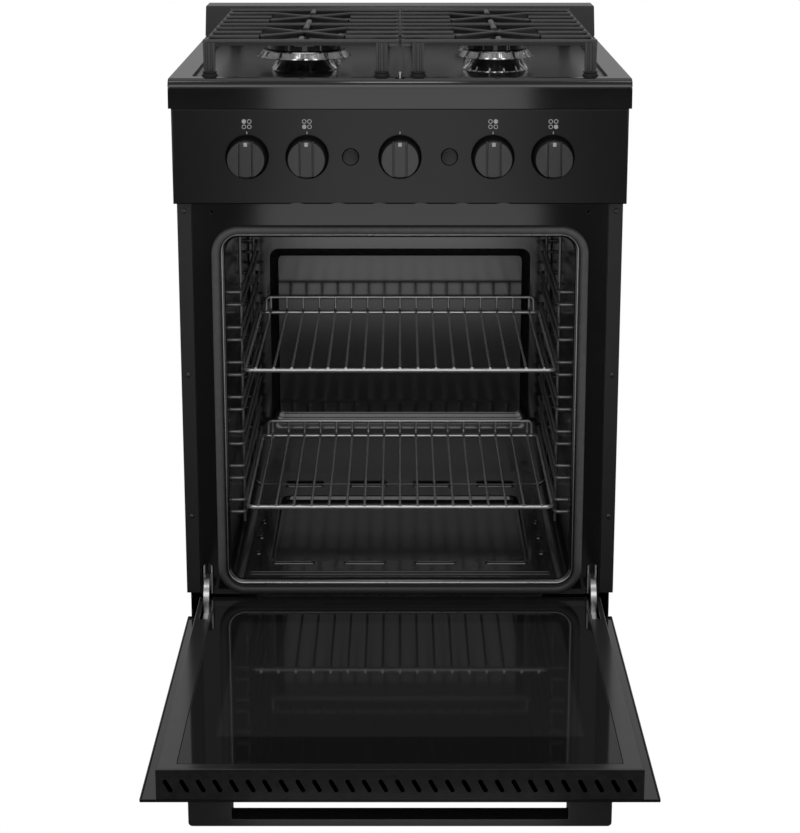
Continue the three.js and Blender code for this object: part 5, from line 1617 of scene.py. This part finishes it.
# Camera, floor and studio light.
view = {"place": (0, -2.8445, 1.238), "pitch": 75.44, "lens": 92.08, "shift": -0.05}
studio = {
    "backdrop": 1.0, "before": 0.04, "low": 0.28, "high": 0.6, "above": 0.36, "ambient": 0.68,
    "cardDepth": -2.0055, "cards": ((0.0, 0.42, 0.325, 1.3), (0.42, 0.85, 0.29, 1.15), (0.88, 1.9, 1.3, 1.7)),
    "sweeps": ((-2.0055, -1.8, 0.33, 1.25), (-1.8, -1.7, 0.33, 0.7), (-0.845, -0.77, 0.2, 1.0)),
    "boxPlace": (0, 0.5, 3.0), "boxSize": (1.8, 1.8), "boxGlow": 0.42,
    "stripTurns": (-38, 0, 38), "stripHeight": 62, "stripFoot": 0.9, "stripReach": 2.4,
    "stripSize": (0.26, 0.7), "stripGlow": 4.0,
    "sidePlace": (2.3, -1.7, 0.75), "sideSize": (0.7, 1.5), "sideGlows": (("left", 0.8), ("right", 1.4)),
    "floorHalf": 6, "floorMirror": 0.05, "floorPale": 0.5, "floorAside": (0.55, 1.4),
    "floorBehind": (0.7, 1.5),
}


def addLight(name, place, turn, size, glow, diffuse=False):
    # an area light that the camera never sees; its turn is in degrees
    lamp = bpy.data.lights.new(name, "AREA")
    lamp.shape = "RECTANGLE"
    lamp.size, lamp.size_y = size
    lamp.energy = glow * pi * size[0] * size[1]
    obj = bpy.data.objects.new(name, lamp)
    obj.location = place
    obj.rotation_euler = [radians(a) for a in turn]
    obj.visible_camera = False
    obj.visible_diffuse = diffuse
    bpy.context.collection.objects.link(obj)


def buildWorld():
    # white to the eye all round; polished faces see a paler wall behind the range than before it
    s = studio
    world = bpy.data.worlds.new("studio")
    bpy.context.scene.world = world
    world.use_nodes = True
    tree = world.node_tree
    path = addNode(tree, "ShaderNodeLightPath").outputs
    ray = addNode(tree, "ShaderNodeTexCoord").outputs["Generated"]
    ray = addNode(tree, "ShaderNodeSeparateXYZ", {0: ray}).outputs
    rising = mapped(tree, ray["Z"], 0.05, 0.4, s["low"], s["high"])
    rearward = blended(tree, mapped(tree, ray["Y"], -0.15, 0.35), s["before"], rising)
    mirrored = blended(tree, mapped(tree, ray["Z"], 0.32, 0.55), rearward, s["above"])
    lit = blended(tree, path["Is Glossy Ray"], s["ambient"], mirrored)
    seen = blended(tree, path["Is Camera Ray"], lit, s["backdrop"])
    background = tree.nodes["Background"].inputs
    background["Color"].default_value = (1, 1, 1, 1)
    tree.links.new(seen, background["Strength"])


def buildFloor():
    s = studio
    material = bpy.data.materials.new("studio floor")
    material.use_nodes = True
    tree = material.node_tree
    tree.nodes.remove(tree.nodes["Principled BSDF"])
    path, place = addNode(tree, "ShaderNodeLightPath").outputs, splitPlace(tree)
    aside = mapped(tree, maths(tree, "ABSOLUTE", place["X"]), *s["floorAside"])
    behind = mapped(tree, place["Y"], *s["floorBehind"])
    glow = mapped(tree, maths(tree, "MAXIMUM", aside, behind), 0, 1, s["floorMirror"], s["floorPale"])
    pale = addNode(tree, "ShaderNodeBsdfDiffuse", {"Color": grey(0.8)})
    dim, plain = addNode(tree, "ShaderNodeEmission", {"Strength": glow}), addNode(tree, "ShaderNodeEmission")
    lit = addNode(tree, "ShaderNodeMixShader", {
        0: path["Is Glossy Ray"], 1: pale.outputs[0], 2: dim.outputs[0]})
    seen = addNode(tree, "ShaderNodeMixShader", {
        0: path["Is Camera Ray"], 1: lit.outputs[0], 2: plain.outputs[0]})
    tree.links.new(seen.outputs[0], tree.nodes["Material Output"].inputs["Surface"])
    bm, reach = bmesh.new(), s["floorHalf"]
    bm.faces.new([bm.verts.new((x * reach, y * reach, 0)) for x, y in ((-1, -1), (1, -1), (1, 1), (-1, 1))])
    floor = scratchObject(bm, "studio_floor")
    bm.free()
    floor.data.materials.append(material)


def buildCamera():
    lens = bpy.data.cameras.new("camera")
    lens.lens = view["lens"]
    lens.shift_y = view["shift"]
    camera = bpy.data.objects.new("camera", lens)
    camera.location = view["place"]
    camera.rotation_euler = (radians(view["pitch"]), 0, 0)
    bpy.context.collection.objects.link(camera)
    bpy.context.scene.camera = camera


buildWorld()
buildFloor()
for number, (low, high, half, glow) in enumerate(studio["cards"]):
    addLight("front_card_%d" % number, (0, studio["cardDepth"], (low + high) / 2), (90, 0, 0),
             (2 * half, high - low), glow)
for number, (near, far, half, glow) in enumerate(studio["sweeps"]):
    # the card's foot curves forward along the floor, and a low strip lies before the door
    addLight("card_sweep_%d" % number, (0, (near + far) / 2, 0.002), (180, 0, 0),
             (2 * half, far - near), glow)
for number, turn in enumerate(studio["stripTurns"]):
    rise, aside = radians(studio["stripHeight"]), radians(turn)
    reach = studio["stripReach"] * cos(rise)
    place = (reach * sin(aside), -reach * cos(aside), studio["stripFoot"] + studio["stripReach"] * sin(rise))
    addLight("strip_%d" % number, place, (90 - studio["stripHeight"], 0, turn), studio["stripSize"],
             studio["stripGlow"])
for side, glow in studio["sideGlows"]:
    sign = -1 if side == "left" else 1
    x, y, z = studio["sidePlace"]
    addLight("side_box_" + side, (sign * x, y, z), (90, 0, sign * degrees(atan2(x, -y))),
             studio["sideSize"], glow)
addLight("overhead_box", studio["boxPlace"], (0, 0, 0), studio["boxSize"], studio["boxGlow"], True)
buildCamera()
bpy.context.scene.view_settings.view_transform = "Standard"
print("pieces built:", pieceCount)
